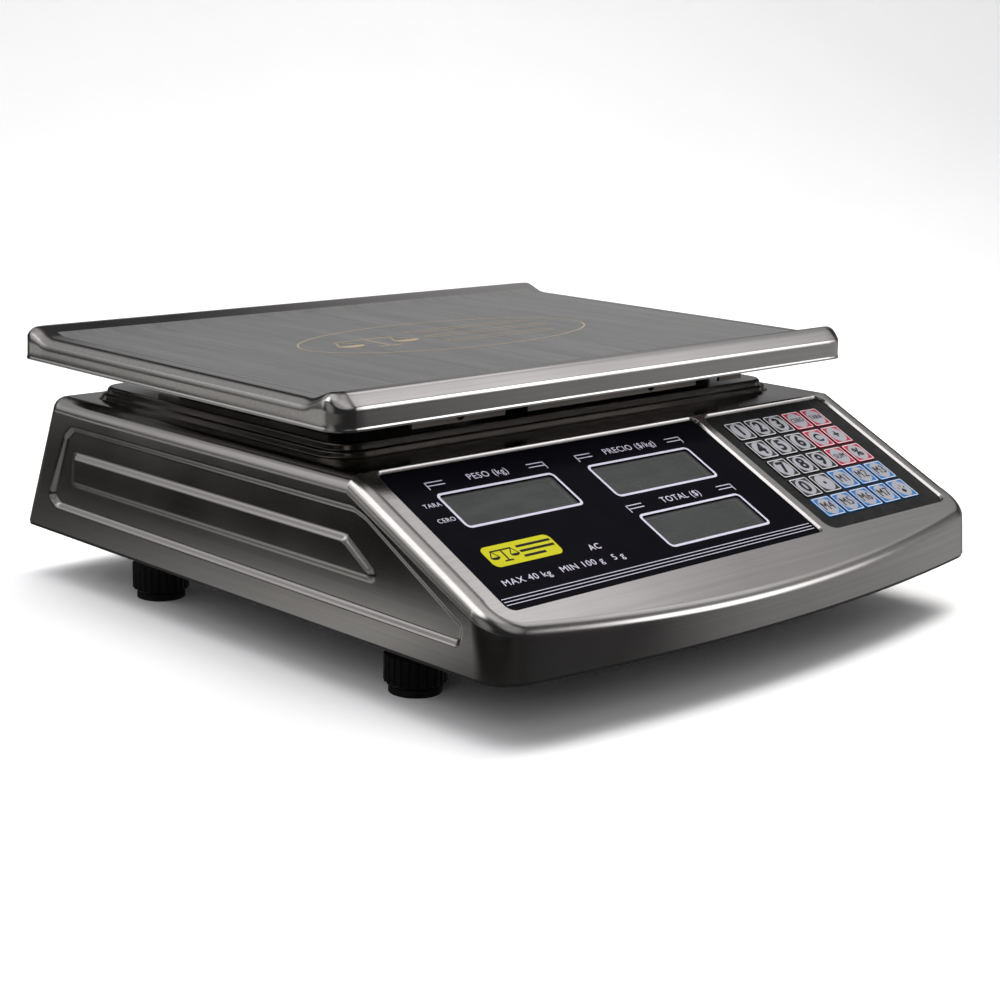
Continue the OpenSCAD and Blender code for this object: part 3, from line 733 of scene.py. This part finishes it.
def top_edges(cols):
    """The round edge between wall and roof, as a row of points inwards for each column."""
    n = len(cols)
    tops = [TOP_Z] * n
    # the wall leans, so its top settles on the roof's height in a few rounds
    for _ in range(6):
        tops = [roof_height(point_at(col, top)[1]) for col, top in zip(cols, tops)]
    edges = []
    for i in range(n):
        top = Vector((*point_at(cols[i], tops[i]), tops[i]))
        below = Vector((*point_at(cols[i], tops[i] - MM), tops[i] - MM))
        wall_dir = (top - below).normalized()
        a = Vector(point_at(cols[i - 1], tops[i - 1]))
        b = Vector(point_at(cols[(i + 1) % n], tops[(i + 1) % n]))
        along = (b - a).normalized()
        inward = Vector((-along.y, along.x))
        rise = (roof_height(top.y + inward.y * 2 * MM) - roof_height(top.y)) / (2 * MM)
        roof_dir = Vector((inward.x, inward.y, rise)).normalized()
        edges.append(edge_points(top, roof_dir, wall_dir, EDGE_R, EDGE_STEPS))
    return edges


def wall_point(col, z):
    x, y = point_at(col, z)
    if col[0] in ("left", "right"):
        depth = emboss_depth(y, z)
        x += -depth if col[0] == "right" else depth
    return Vector((x, y, z))


def add_back_wall(bm, rings, first, last):
    """The flat back between two columns, with the customer display's tray and the inlet's hole."""
    right_side = [ring[first] for ring in rings]
    left_side = [ring[last] for ring in rings]
    bottom, top = rings[0][first + 1 : last], rings[-1][first + 1 : last]
    rear_tray = add_tray(bm, BACK_WALL, REAR_MID, REAR_SIZE, REAR_TRAY_R)
    hole = add_ring(bm, panel_loop(BACK_WALL, INLET_MID, INLET_HOLE, INLET_HOLE_R, 0, 0, 2))
    wall_loop = bottom + left_side + top[::-1] + right_side[::-1]
    fill_planar(bm, [wall_loop, rear_tray, hole], plane_normal(BACK_WALL))


def add_roof(bm, cols, rim):
    """Console slope with its two trays, round shoulder, and flat top with the plateau and the neck's hole."""

    def on_shoulder(side):
        low, high = SHOULDER_YS[0] - 1e-7, SHOULDER_YS[1] + 1e-7
        return [i for i, col in enumerate(cols) if col[0] == side and low <= rim[i].co.y <= high]

    right, left = on_shoulder("right"), on_shoulder("left")[::-1]
    for ra, rb, la, lb in zip(right, right[1:], left, left[1:]):
        bm.faces.new((rim[la], rim[ra], rim[rb], rim[lb]))
    slope_loop = rim[left[0] :] + rim[: right[0] + 1]
    top_loop = rim[right[-1] : left[-1] + 1]
    lens_tray = add_tray(bm, CONSOLE, LENS_MID, LENS_SIZE, LENS_R)
    keypad_tray = add_tray(bm, CONSOLE, KEYPAD_MID, KEYPAD_SIZE, KEYPAD_R)
    fill_planar(bm, [slope_loop, lens_tray, keypad_tray], CONSOLE_NORMAL, ON_SLOPE)
    level = Matrix.Translation((0, 0, TOP_Z))
    steps = []
    for grow, h in PLATEAU:
        loop = panel_loop(level, PLATEAU_MID, PLATEAU_SIZE, PLATEAU_R, grow * MM, h * MM, 12)
        steps.append(add_ring(bm, loop))
    loft(bm, steps, ON_SLOPE)
    fill_planar(bm, [top_loop, steps[0]], plane_normal(level), ON_SLOPE)
    neck = add_ring(bm, panel_loop(level, NECK_MID, NECK_SIZE, NECK_R, 0, PLATEAU[-1][1] * MM, 4))
    fill_planar(bm, [steps[-1], neck], plane_normal(level), ON_SLOPE)


def build_housing():
    bm = bmesh.new()
    cols = body_columns()
    edges = top_edges(cols)
    rings = []
    for v in spaced(0, 1, WALL_ROWS):
        rings.append(add_ring(bm, [wall_point(col, lerp(BODY_Z, e[0].z, v)) for col, e in zip(cols, edges)]))
    for k in range(1, EDGE_STEPS + 1):
        rings.append(add_ring(bm, [e[k] for e in edges]))
    wall, round_top = rings[: WALL_ROWS + 1], rings[WALL_ROWS:]
    back = [i for i, col in enumerate(cols) if col[0] == "back"]
    loft(bm, wall, skip=set(back))
    loft(bm, round_top)
    add_back_wall(bm, wall, back[0], back[-1] + 1)
    add_roof(bm, cols, rings[-1])
    mesh = to_mesh(bm, "housing_shell", merge=1e-7)
    looks = [M["body"], M["slope"]]
    shell = new_piece("housing_shell", mesh, "body", looks, ["housing"], smooth=58)
    solidify(shell, BODY_SHEET)
    shell.modifiers.new("even_normals", "WEIGHTED_NORMAL").keep_sharp = True


# ---- platter --------------------------------------------------------------------------------

PAN_Z = 119 * MM
PAN_MID_Y = (PLATTER_LO.y + PLATTER_HI.y) / 2
PAN_HALF = Vector(((PLATTER_HI.x - PLATTER_LO.x) / 2, (PLATTER_HI.y - PLATTER_LO.y) / 2))
PAN_R = 10 * MM
SIDE_ROLL = 5.5 * MM
PAN_FLARE = 0.5 * MM
PAN_SHEET = 1.0 * MM
FILM_X = PAN_HALF.x - 11 * MM
FILM_Y = PAN_HALF.y - 16 * MM
FILM_LIFT = 0.06 * MM
FILM_SHEET = 0.05 * MM


def piecewise(points, t):
    """Straight lines through (t, value) points."""
    if t <= points[0][0]:
        return points[0][1]
    for (t0, v0), (t1, v1) in zip(points, points[1:]):
        if t <= t1:
            return lerp(v0, v1, (t - t0) / (t1 - t0))
    return points[-1][1]


RIM_PROFILE = [
    (0, 117.0), (0.6, 117.7), (1.5, 118.55), (3, 119.85), (4.5, 121.1), (5.8, 122.1), (6.8, 122.65),
    (7.8, 122.92), (9, 123.0), (10, 122.92), (11, 122.65), (12.5, 122.1), (15, 121.1), (18, 119.95),
    (20, 119.4), (22, 119.1), (24, 119.0),
]


def rim_height(d):
    return piecewise(RIM_PROFILE, d / MM) * MM


def pan_height(y):
    return rim_height(PAN_HALF.y - abs(y - PAN_MID_Y))


def side_drop(d):
    if d >= SIDE_ROLL:
        return 0.0
    return SIDE_ROLL - math.sqrt(SIDE_ROLL**2 - (SIDE_ROLL - d) ** 2)


def pan_lines():
    """Grid lines of the pan inside the rolled edge."""
    xs = spaced(-PAN_HALF.x + PAN_R, PAN_HALF.x - PAN_R, 60)
    y_low, y_high = PAN_MID_Y - PAN_HALF.y + PAN_R, PAN_MID_Y + PAN_HALF.y - PAN_R
    near = [d * MM for d in (0, 0.5, 1, 1.7, 2.5, 3.5, 5, 6.5, 8, 9, 10, 11, 12, 13, 14, 15)]
    middle = spaced(y_low + 19 * MM, y_high - 19 * MM, 40)
    return xs, [y_low + d for d in near] + middle + [y_high - d for d in near[::-1]]


def build_platter():
    bm = bmesh.new()
    xs, ys = pan_lines()
    cols = [(x, "front") for x in xs[:-1]] + [(a, "fr") for a in spaced(-90, 0, 10)][:-1]
    cols += [(y, "right") for y in ys[:-1]] + [(a, "br") for a in spaced(0, 90, 10)][:-1]
    cols += [(x, "back") for x in xs[:0:-1]] + [(a, "bl") for a in spaced(90, 180, 10)][:-1]
    cols += [(y, "left") for y in ys[:0:-1]] + [(a, "fl") for a in spaced(180, 270, 10)][:-1]

    def place(col, d):
        value, kind = col
        w, h = PAN_HALF.x, PAN_HALF.y
        r = PAN_R - d
        if kind == "front":
            return value, PAN_MID_Y - h + d, 1.0
        if kind == "back":
            return value, PAN_MID_Y + h - d, 1.0
        if kind == "right":
            return w - d, value, 0.0
        if kind == "left":
            return -w + d, value, 0.0
        a = math.radians(value)
        cx = (w - PAN_R) * (1 if kind in ("fr", "br") else -1)
        cy = PAN_MID_Y + (h - PAN_R) * (1 if kind in ("br", "bl") else -1)
        return cx + r * math.cos(a), cy + r * math.sin(a), math.sin(a) ** 2

    def top(col, d):
        x, y, w = place(col, d)
        z = w * rim_height(d) + (1 - w) * (pan_height(y) - side_drop(d))
        if d >= PAN_R:
            z = pan_height(y)
        return Vector((x, y, z))

    rings = []
    for drop, out in ((0, 1), (0.25, 1), (0.9, 1), (1.2, 0.6), (1.6, 0.45), (4, 0.3), (7, 0.1)):
        points = []
        for col in cols:
            x, y, _ = place(col, PAN_FLARE * (1 - out))
            z = min(PLATTER_LO.z + drop * MM, top(col, 0).z - 0.2 * MM)
            points.append(Vector((x, y, z)))
        rings.append(add_ring(bm, points))
    for d in (0, 0.25, 0.6, 1, 1.5, 2.2, 3, 4, 5, 6, 7.2, 8.5, 10):
        rings.append(add_ring(bm, [top(c, PAN_FLARE + d * MM * (1 - PAN_FLARE / PAN_R)) for c in cols]))
    loft(bm, rings)
    add_pan_grid(bm, xs, ys)
    mesh = to_mesh(bm, "platter_tray", merge=2e-6)
    tray = new_piece("platter_tray", mesh, "platter", [M["tray"]], ["platter"], smooth=50)
    solidify(tray, PAN_SHEET)


def add_pan_grid(bm, xs, ys, lift=0.0):
    """A sheet over the grid lines that follows the pan."""
    rows = [[bm.verts.new((x, y, pan_height(y) + lift)) for x in xs] for y in ys]
    for a, b in zip(rows, rows[1:]):
        for i in range(len(xs) - 1):
            bm.faces.new((a[i], a[i + 1], b[i + 1], b[i]))


def build_film():
    bm = bmesh.new()
    xs, ys = pan_lines()
    xs = [-FILM_X] + [x for x in xs if abs(x) < FILM_X - MM] + [FILM_X]
    add_pan_grid(bm, xs, [y for y in ys if abs(y - PAN_MID_Y) <= FILM_Y], FILM_LIFT)
    mesh = to_mesh(bm, "platter_film")
    film = new_piece("platter_film", mesh, "platter", [M["film"]], smooth=50)
    solidify(film, FILM_SHEET)


# ---- printed marks --------------------------------------------------------------------------


class Print:
    """Flat marks on a plane, as one thin raised mesh; each mark may have its own material."""

    def __init__(self, place, materials, thickness=0.05 * MM):
        self.bm = bmesh.new()
        self.place = place
        self.materials = materials
        self.thickness = thickness

    def area(self, loops, h, ink=0):
        """Fills between loops of (x, y) at height h, with short walls down."""

        def rings_at(z):
            return [add_ring(self.bm, [self.place @ Vector((x, y, z)) for x, y in loop]) for loop in loops]

        tops, lows = rings_at(h), rings_at(h - self.thickness)
        fill_planar(self.bm, tops, plane_normal(self.place), ink)
        for a, b in zip(tops, lows):
            bridge(self.bm, a, b, ink)

    def ring(self, outline, width, h, at=(0, 0)):
        outer = moved(outline, at)
        self.area([outer, offset_in(outer, width)], h)

    def bar(self, a, b, width, h, ink=0):
        a, b = Vector(a), Vector(b)
        side = (b - a).normalized()
        side = Vector((-side.y, side.x)) * width / 2
        self.area([[tuple(a - side), tuple(b - side), tuple(b + side), tuple(a + side)]], h, ink)

    def text(self, words, at, size, h, ink=0, stretch=1.0, bold=0.0):
        """Letters of Blender's own font, size is the height of the capitals."""
        curve = bpy.data.curves.new("words", "FONT")
        curve.body = words
        curve.size = size / 0.73
        curve.align_x = "CENTER"
        curve.align_y = "CENTER"
        curve.offset = bold * size
        curve.resolution_u = 3
        curve.space_character = 1.1
        carrier = bpy.data.objects.new("words", curve)
        bpy.context.scene.collection.objects.link(carrier)
        bpy.context.view_layer.update()
        flat = bpy.data.meshes.new_from_object(carrier)
        bpy.data.objects.remove(carrier)
        bpy.data.curves.remove(curve)
        move = self.place @ Matrix.Translation((at[0], at[1], h)) @ Matrix.Diagonal((stretch, 1, 1, 1))
        verts = [self.bm.verts.new(move @ v.co) for v in flat.vertices]
        for p in flat.polygons:
            face = self.bm.faces.new([verts[i] for i in p.vertices])
            face.material_index = ink
        bpy.data.meshes.remove(flat)

    def piece(self, name, body, slot):
        new_piece(name, bare_mesh(self.bm, name), body, self.materials, smooth=0)


def build_panel(name, place, mid, size, windows, node):
    """A display panel with softened edges and an opening at each window's middle."""
    bm = bmesh.new()
    top, low = mid.z + size.z / 2, mid.z - size.z / 2

    def edge_rings(at, w, h, r, soft):
        """Rings down an edge, the topmost grown by soft."""
        rings = []
        for grow, z in ((soft, top), (0, top - PANEL_SOFT), (0, low)):
            outline = moved(unique(soft_rect(w + 2 * grow, h + 2 * grow, r + grow, 6)), at)
            rings.append(add_ring(bm, [place @ Vector((x, y, z)) for x, y in outline]))
        return rings

    outer = edge_rings(mid, size.x, size.y, LENS_R, -PANEL_SOFT)
    holes = [edge_rings(w, WINDOW.x, WINDOW.y, WINDOW_R, PANEL_SOFT) for w in windows]
    for rings in (*holes, outer):
        loft(bm, rings)
    up = plane_normal(place)
    fill_planar(bm, [rings[0] for rings in (outer, *holes)], up)
    fill_planar(bm, [rings[-1] for rings in (outer, *holes)], -up)
    new_piece(name, to_mesh(bm, name, merge=1e-7), "body", [M["lens"]], [node], smooth=40)


# ---- display panels -------------------------------------------------------------------------

WINDOW = Vector((64.4, 19.8)) * MM
WINDOW_R = 1.6 * MM
PANEL_SOFT = 0.25 * MM
FRAME_W = 1.25 * MM
INK_H = 0.05 * MM
FRONT_WINDOWS = [Vector((-90.9, -29.3)) * MM, Vector((-3.6, -29.4)) * MM, Vector((-4.2, -63.9)) * MM]
REAR_WINDOWS = [REAR_MID.xy + Vector((k * 73 * MM, 0)) for k in (-1, 0, 1)]


def label_marks(sheet, words, at, left, right, h):
    """A caption over a window, between two double dashes that turn down at their outer ends."""
    sheet.text(words, at, 3.7 * MM, h, bold=0.004)
    for end, inward in ((left, 1), (right, -1)):
        for k in (0, 1):
            y = at[1] + (1.1 - 2.1 * k) * MM
            sheet.bar((end, y), (end + inward * 9.6 * MM, y), 0.45 * MM, h)
        sheet.bar((end, at[1] + 1.3 * MM), (end, at[1] - 3.2 * MM), 0.45 * MM, h)


def window_frame(sheet, at, h):
    outline = unique(soft_rect(WINDOW.x + 2 * FRAME_W, WINDOW.y + 2 * FRAME_W, WINDOW_R + FRAME_W, 5))
    sheet.ring(outline, FRAME_W, h, at)


def balance_sign(sheet, at, size, width, h, ink):
    """A plain beam balance: post, foot, beam and two pans."""
    x, y = at
    sheet.bar((x, y - 0.45 * size), (x, y + 0.38 * size), width, h, ink)
    sheet.bar((x - 0.3 * size, y - 0.45 * size), (x + 0.3 * size, y - 0.45 * size), width, h, ink)
    sheet.bar((x - 0.75 * size, y + 0.38 * size), (x + 0.75 * size, y + 0.38 * size), width, h, ink)
    for side in (-0.7, 0.7):
        px = x + side * size
        for foot in (-0.28, 0.28):
            sheet.bar((px, y + 0.38 * size), (px + foot * size, y - 0.06 * size), width * 0.6, h, ink)
        turns = spaced(math.pi, TAU, 12)
        bowl = [(0.32 * size * math.cos(a), 0.2 * size * math.sin(a)) for a in turns]
        sheet.area([moved(bowl, (px, y - 0.06 * size))], h, ink)


def build_front_display():
    build_panel("display_panel", CONSOLE, LENS_MID, LENS_SIZE, FRONT_WINDOWS, "display_lens")
    h = LENS_MID.z + LENS_SIZE.z / 2 + INK_H
    sheet = Print(CONSOLE, [M["lilac_ink"], M["yellow_ink"], M["dark_ink"]])
    for w in FRONT_WINDOWS:
        window_frame(sheet, w, h)
    a, b, c = FRONT_WINDOWS
    label_marks(sheet, "PESO (kg)", (a.x + 1 * MM, -12.1 * MM), -124 * MM, -57 * MM, h)
    label_marks(sheet, "PRECIO ($/kg)", (b.x + 0.8 * MM, -12.1 * MM), -37.2 * MM, 31.3 * MM, h)
    label_marks(sheet, "TOTAL ($)", (c.x, -47.6 * MM), -38.5 * MM, 30.4 * MM, h)
    sheet.text("TARA", (-130.3 * MM, -24.2 * MM), 2.5 * MM, h)
    sheet.text("CERO", (-130.3 * MM, -33.6 * MM), 2.5 * MM, h)
    sheet.text("AC", (-75 * MM, -64.8 * MM), 3.4 * MM, h, bold=0.01)
    sheet.text("MAX 40 kg   MIN 100 g   5 g", (-99.4 * MM, -72.6 * MM), 3.4 * MM, h, stretch=1.12)
    left, right = LENS_MID.x - LENS_SIZE.x / 2 + 1.2 * MM, LENS_MID.x + LENS_SIZE.x / 2 - 1.2 * MM
    for y in (-80.1, -81.8, -83.5):
        sheet.bar((left, y * MM), (right, y * MM), 0.35 * MM, h)
    tag = unique(soft_rect(38 * MM, 12 * MM, 3 * MM, 6))
    sheet.area([moved(tag, (-110.3 * MM, -58 * MM))], h, 1)
    balance_sign(sheet, (-120 * MM, -58 * MM), 7.6 * MM, 0.8 * MM, h + INK_H, 2)
    for k, length in enumerate((19, 19, 12)):
        y = (-55.2 - 2.9 * k) * MM
        sheet.bar((-111.5 * MM, y), ((-111.5 + length) * MM, y), 1.3 * MM, h + INK_H, 2)
    sheet.piece("display_print", "body", "lens")


def build_rear_display():
    build_panel("rear_panel", BACK_WALL, REAR_MID, REAR_SIZE, REAR_WINDOWS, "rear_lens")
    h = REAR_MID.z + REAR_SIZE.z / 2 + INK_H
    sheet = Print(BACK_WALL, [M["lilac_ink"]])
    for m, words in zip(REAR_WINDOWS, ("PESO (kg)", "PRECIO ($/kg)", "TOTAL ($)")):
        window_frame(sheet, m, h)
        sheet.text(words, (m.x, m.y + 14.6 * MM), 2.8 * MM, h, bold=0.01)
    sheet.piece("rear_print", "body", "lens")


def build_lcd_glass_and_painted_shade():
    """LCD glass in each window, with a dark strip of painted shade inside its right and top edges, in place of the
    shadow in the gap under the lens.
    """
    for name, place, middles, depth in (
        ("front", CONSOLE, FRONT_WINDOWS, LENS_MID.z - LENS_SIZE.z / 2),
        ("rear", BACK_WALL, REAR_WINDOWS, REAR_MID.z - REAR_SIZE.z / 2),
    ):
        sheet = Print(place, [M["lcd"], M["lcd_painted_shade"]], thickness=0.1 * MM)
        for m in middles:
            outer = moved(unique(soft_rect(WINDOW.x + 1 * MM, WINDOW.y + 1 * MM, WINDOW_R, 5)), m)
            inner = unique(soft_rect(WINDOW.x - 5 * MM, WINDOW.y - 2.8 * MM, 1.2 * MM, 5))
            inner = moved(inner, (m.x - 1.6 * MM, m.y - 0.8 * MM))
            # painted shade: the strip is wider at the right and top, where the lens casts its shadow into the
            # window
            sheet.area([outer, inner], depth + 0.14 * MM, 1)
            sheet.area([inner], depth + 0.12 * MM, 0)
        sheet.piece(f"lcd_glass_{name}", "body", "lcd")


def build_film_emblem():
    """Faint emblem printed on the film: an oval, a beam balance and three rules."""
    sheet = Print(Matrix.Translation((0, PAN_MID_Y, 0)), [M["brown_ink"]], thickness=0.03 * MM)
    h = PAN_Z + 0.12 * MM
    sheet.ring(ellipse(176 * MM, 74 * MM, 72), 0.8 * MM, h)
    balance_sign(sheet, (-46 * MM, 0), 24 * MM, 1.1 * MM, h, 0)
    for k, (a, b) in enumerate(((-14, 62), (-14, 66), (-14, 56))):
        y = (15 - 15 * k) * MM
        for side in (-2.4, 2.4):
            sheet.bar((a * MM, y + side * MM), (b * MM, y + side * MM), 0.6 * MM, h)
        for x in (a, b):
            sheet.bar((x * MM, y - 2.7 * MM), (x * MM, y + 2.7 * MM), 0.6 * MM, h)
    sheet.piece("film_emblem", "platter", "tray_steel")


# ---- keys -----------------------------------------------------------------------------------

KEY_WORDS = [
    ["1", "2", "3", "CERO", "TARA"],
    ["4", "5", "6", "C", "+"],
    ["7", "8", "9", "SUM", "%"],
    ["0", ".", "M1", "M2", "M3"],
    ["M4", "M5", "M6", "M7", ""],
]
# height and width factor of the letters, by the length of the word
KEY_TYPE = {1: (7.6, 1.0), 2: (5.6, 0.78), 3: (3.4, 0.85), 4: (3.2, 0.75)}
KEY_FLANGE = 0.65 * MM


def key_words(sheet, words, at, h):
    """One letter is printed fat; longer words are struck three times, a little apart."""
    cap, stretch = KEY_TYPE[len(words)]
    if words in "C+%":
        cap = 5.6
    strikes = ((0, 0.045),) if len(words) == 1 else ((-0.13, 0), (0, 0), (0.13, 0))
    for k, (shift, bold) in enumerate(strikes):
        spot = (at[0] + shift * MM, at[1])
        sheet.text(words, spot, cap * MM, h + 0.004 * k * MM, 2, stretch=stretch, bold=bold)


def lamp_sign(sheet, at, h):
    """A lamp with three rays."""
    x, y = at[0], at[1] - 1.6 * MM
    sheet.area([moved(ellipse(2.6 * MM, 2.6 * MM, 20), (x, y))], h, 2)
    for a in (40, 90, 140):
        c, sn = math.cos(math.radians(a)), math.sin(math.radians(a))
        start = (x + 2.2 * MM * c, y + 2.4 * MM * sn)
        sheet.bar(start, (x + 3.4 * MM * c, y + 4.4 * MM * sn), 0.5 * MM, h, 2)


def build_keys():
    record = frame["record"]
    bodies = {node: body for body, nodes in record["behaviour"]["bodies"].items() for node in nodes}
    slots = {row["node"]: row["material_slot"] for row in record["subparts"]}
    for row, row_words in enumerate(KEY_WORDS, 1):
        for col, words in enumerate(row_words, 1):
            node = f"key_r{row}c{col}"
            mid, size = local_box(node, CONSOLE)
            at = mid.xy
            w, l = size.x - 2 * KEY_FLANGE, size.y - 2 * KEY_FLANGE
            h = mid.z + size.z / 2 + INK_H
            top = h + 0.04 * MM
            sheet = Print(CONSOLE, [M["key_line"], M["white_ink"], M["dark_ink"]])
            sheet.ring(unique(soft_rect(w - 0.5 * MM, l - 0.5 * MM, 1.1 * MM, 5)), 0.5 * MM, h, at)
            sheet.area([moved(ellipse(w - 2.6 * MM, l - 1.9 * MM), at)], h + 0.01 * MM, 1)
            if words == ".":
                sheet.area([moved(ellipse(2 * MM, 2 * MM, 16), at)], top, 2)
            elif words:
                key_words(sheet, words, at, top)
            else:
                lamp_sign(sheet, at, top)
            sheet.piece(f"{node}_print", bodies[node], slots[node])


# ---- finishes of the CAD nodes that stay ----------------------------------------------------

SLOT_LOOK = {
    "stainless": "body",
    "tray_steel": "tray",
    "frame_steel": "frame",
    "fasteners": "zinc",
    "keypad_black": "keypad",
    "circuit_board": "pcb",
    "dome_steel": "zinc",
    "wire_grey": "wire",
    "battery_case": "battery",
    "transformer_iron": "iron",
    "black_plastic": "plastic",
    "load_cell_aluminium": "aluminium",
    "block_steel": "block",
    "level_vial": "vial",
    "pad_rubber": "rubber",
    "foot_plastic": "foot",
}


def finish_nodes():
    for row in frame["record"]["subparts"]:
        slot = row["material_slot"]
        for place in frame["nodes"][row["node"]].material_slots:
            place.material = M[SLOT_LOOK.get(slot, slot)]


# ---- floor and backdrop ---------------------------------------------------------------------

DIAGONAL = math.sqrt(0.5)


def add_floor():
    """Pale paper under the object, which curves up behind it on the side away from the camera."""
    bm = bmesh.new()
    bend = [(1.1 + 0.5 * math.sin(a), 0.5 - 0.5 * math.cos(a)) for a in spaced(0, math.pi / 2, 12)]
    profile = [(-3, 0), (1.1, 0), *bend, (1.6, 2.5)]
    rows = []
    side = Vector((DIAGONAL, -DIAGONAL, 0))
    for along, z in profile:
        base = Vector((along * DIAGONAL, along * DIAGONAL, z))
        rows.append([bm.verts.new(base + side * k) for k in (-3.5, 3.5)])
    for a, b in zip(rows, rows[1:]):
        bm.faces.new((a[0], a[1], b[1], b[0]))
    mesh = bare_mesh(bm, "floor")
    mesh.shade_smooth()
    s = Shader("paper", (0.9, 0.9, 0.9), 0.8)
    s.tint(s.noise((3, 3, 3)), 0.97)
    stage_object("floor", mesh, s.material, ("glossy",))


def add_backdrop():
    """Plain pale surround behind the floor for every direction of view; nothing but the camera sees it."""
    bm = bmesh.new()
    profile = [(3.4, -0.5), (3.4, 0.2), (3.3, 0.8), (3.0, 1.8), (2.4, 2.8), (1.4, 3.5), (0.3, 3.8)]
    turns = spaced(0, TAU, 72)[:-1]
    loft(bm, [add_ring(bm, [(r * math.cos(a), r * math.sin(a), z) for a in turns]) for r, z in profile])
    mesh = to_mesh(bm, "backdrop")
    mesh.shade_smooth()
    material, strength = shining("backdrop")
    strength.default_value = 0.82
    stage_object("backdrop", mesh, material, ("diffuse", "glossy", "shadow", "transmission"))


# ---- the whole ------------------------------------------------------------------------------

add_camera()
build_housing()
build_platter()
build_film()
build_film_emblem()
build_front_display()
build_rear_display()
build_lcd_glass_and_painted_shade()
build_keys()
finish_nodes()
add_floor()
add_backdrop()
add_world()
add_bounce_card()
add_lights()
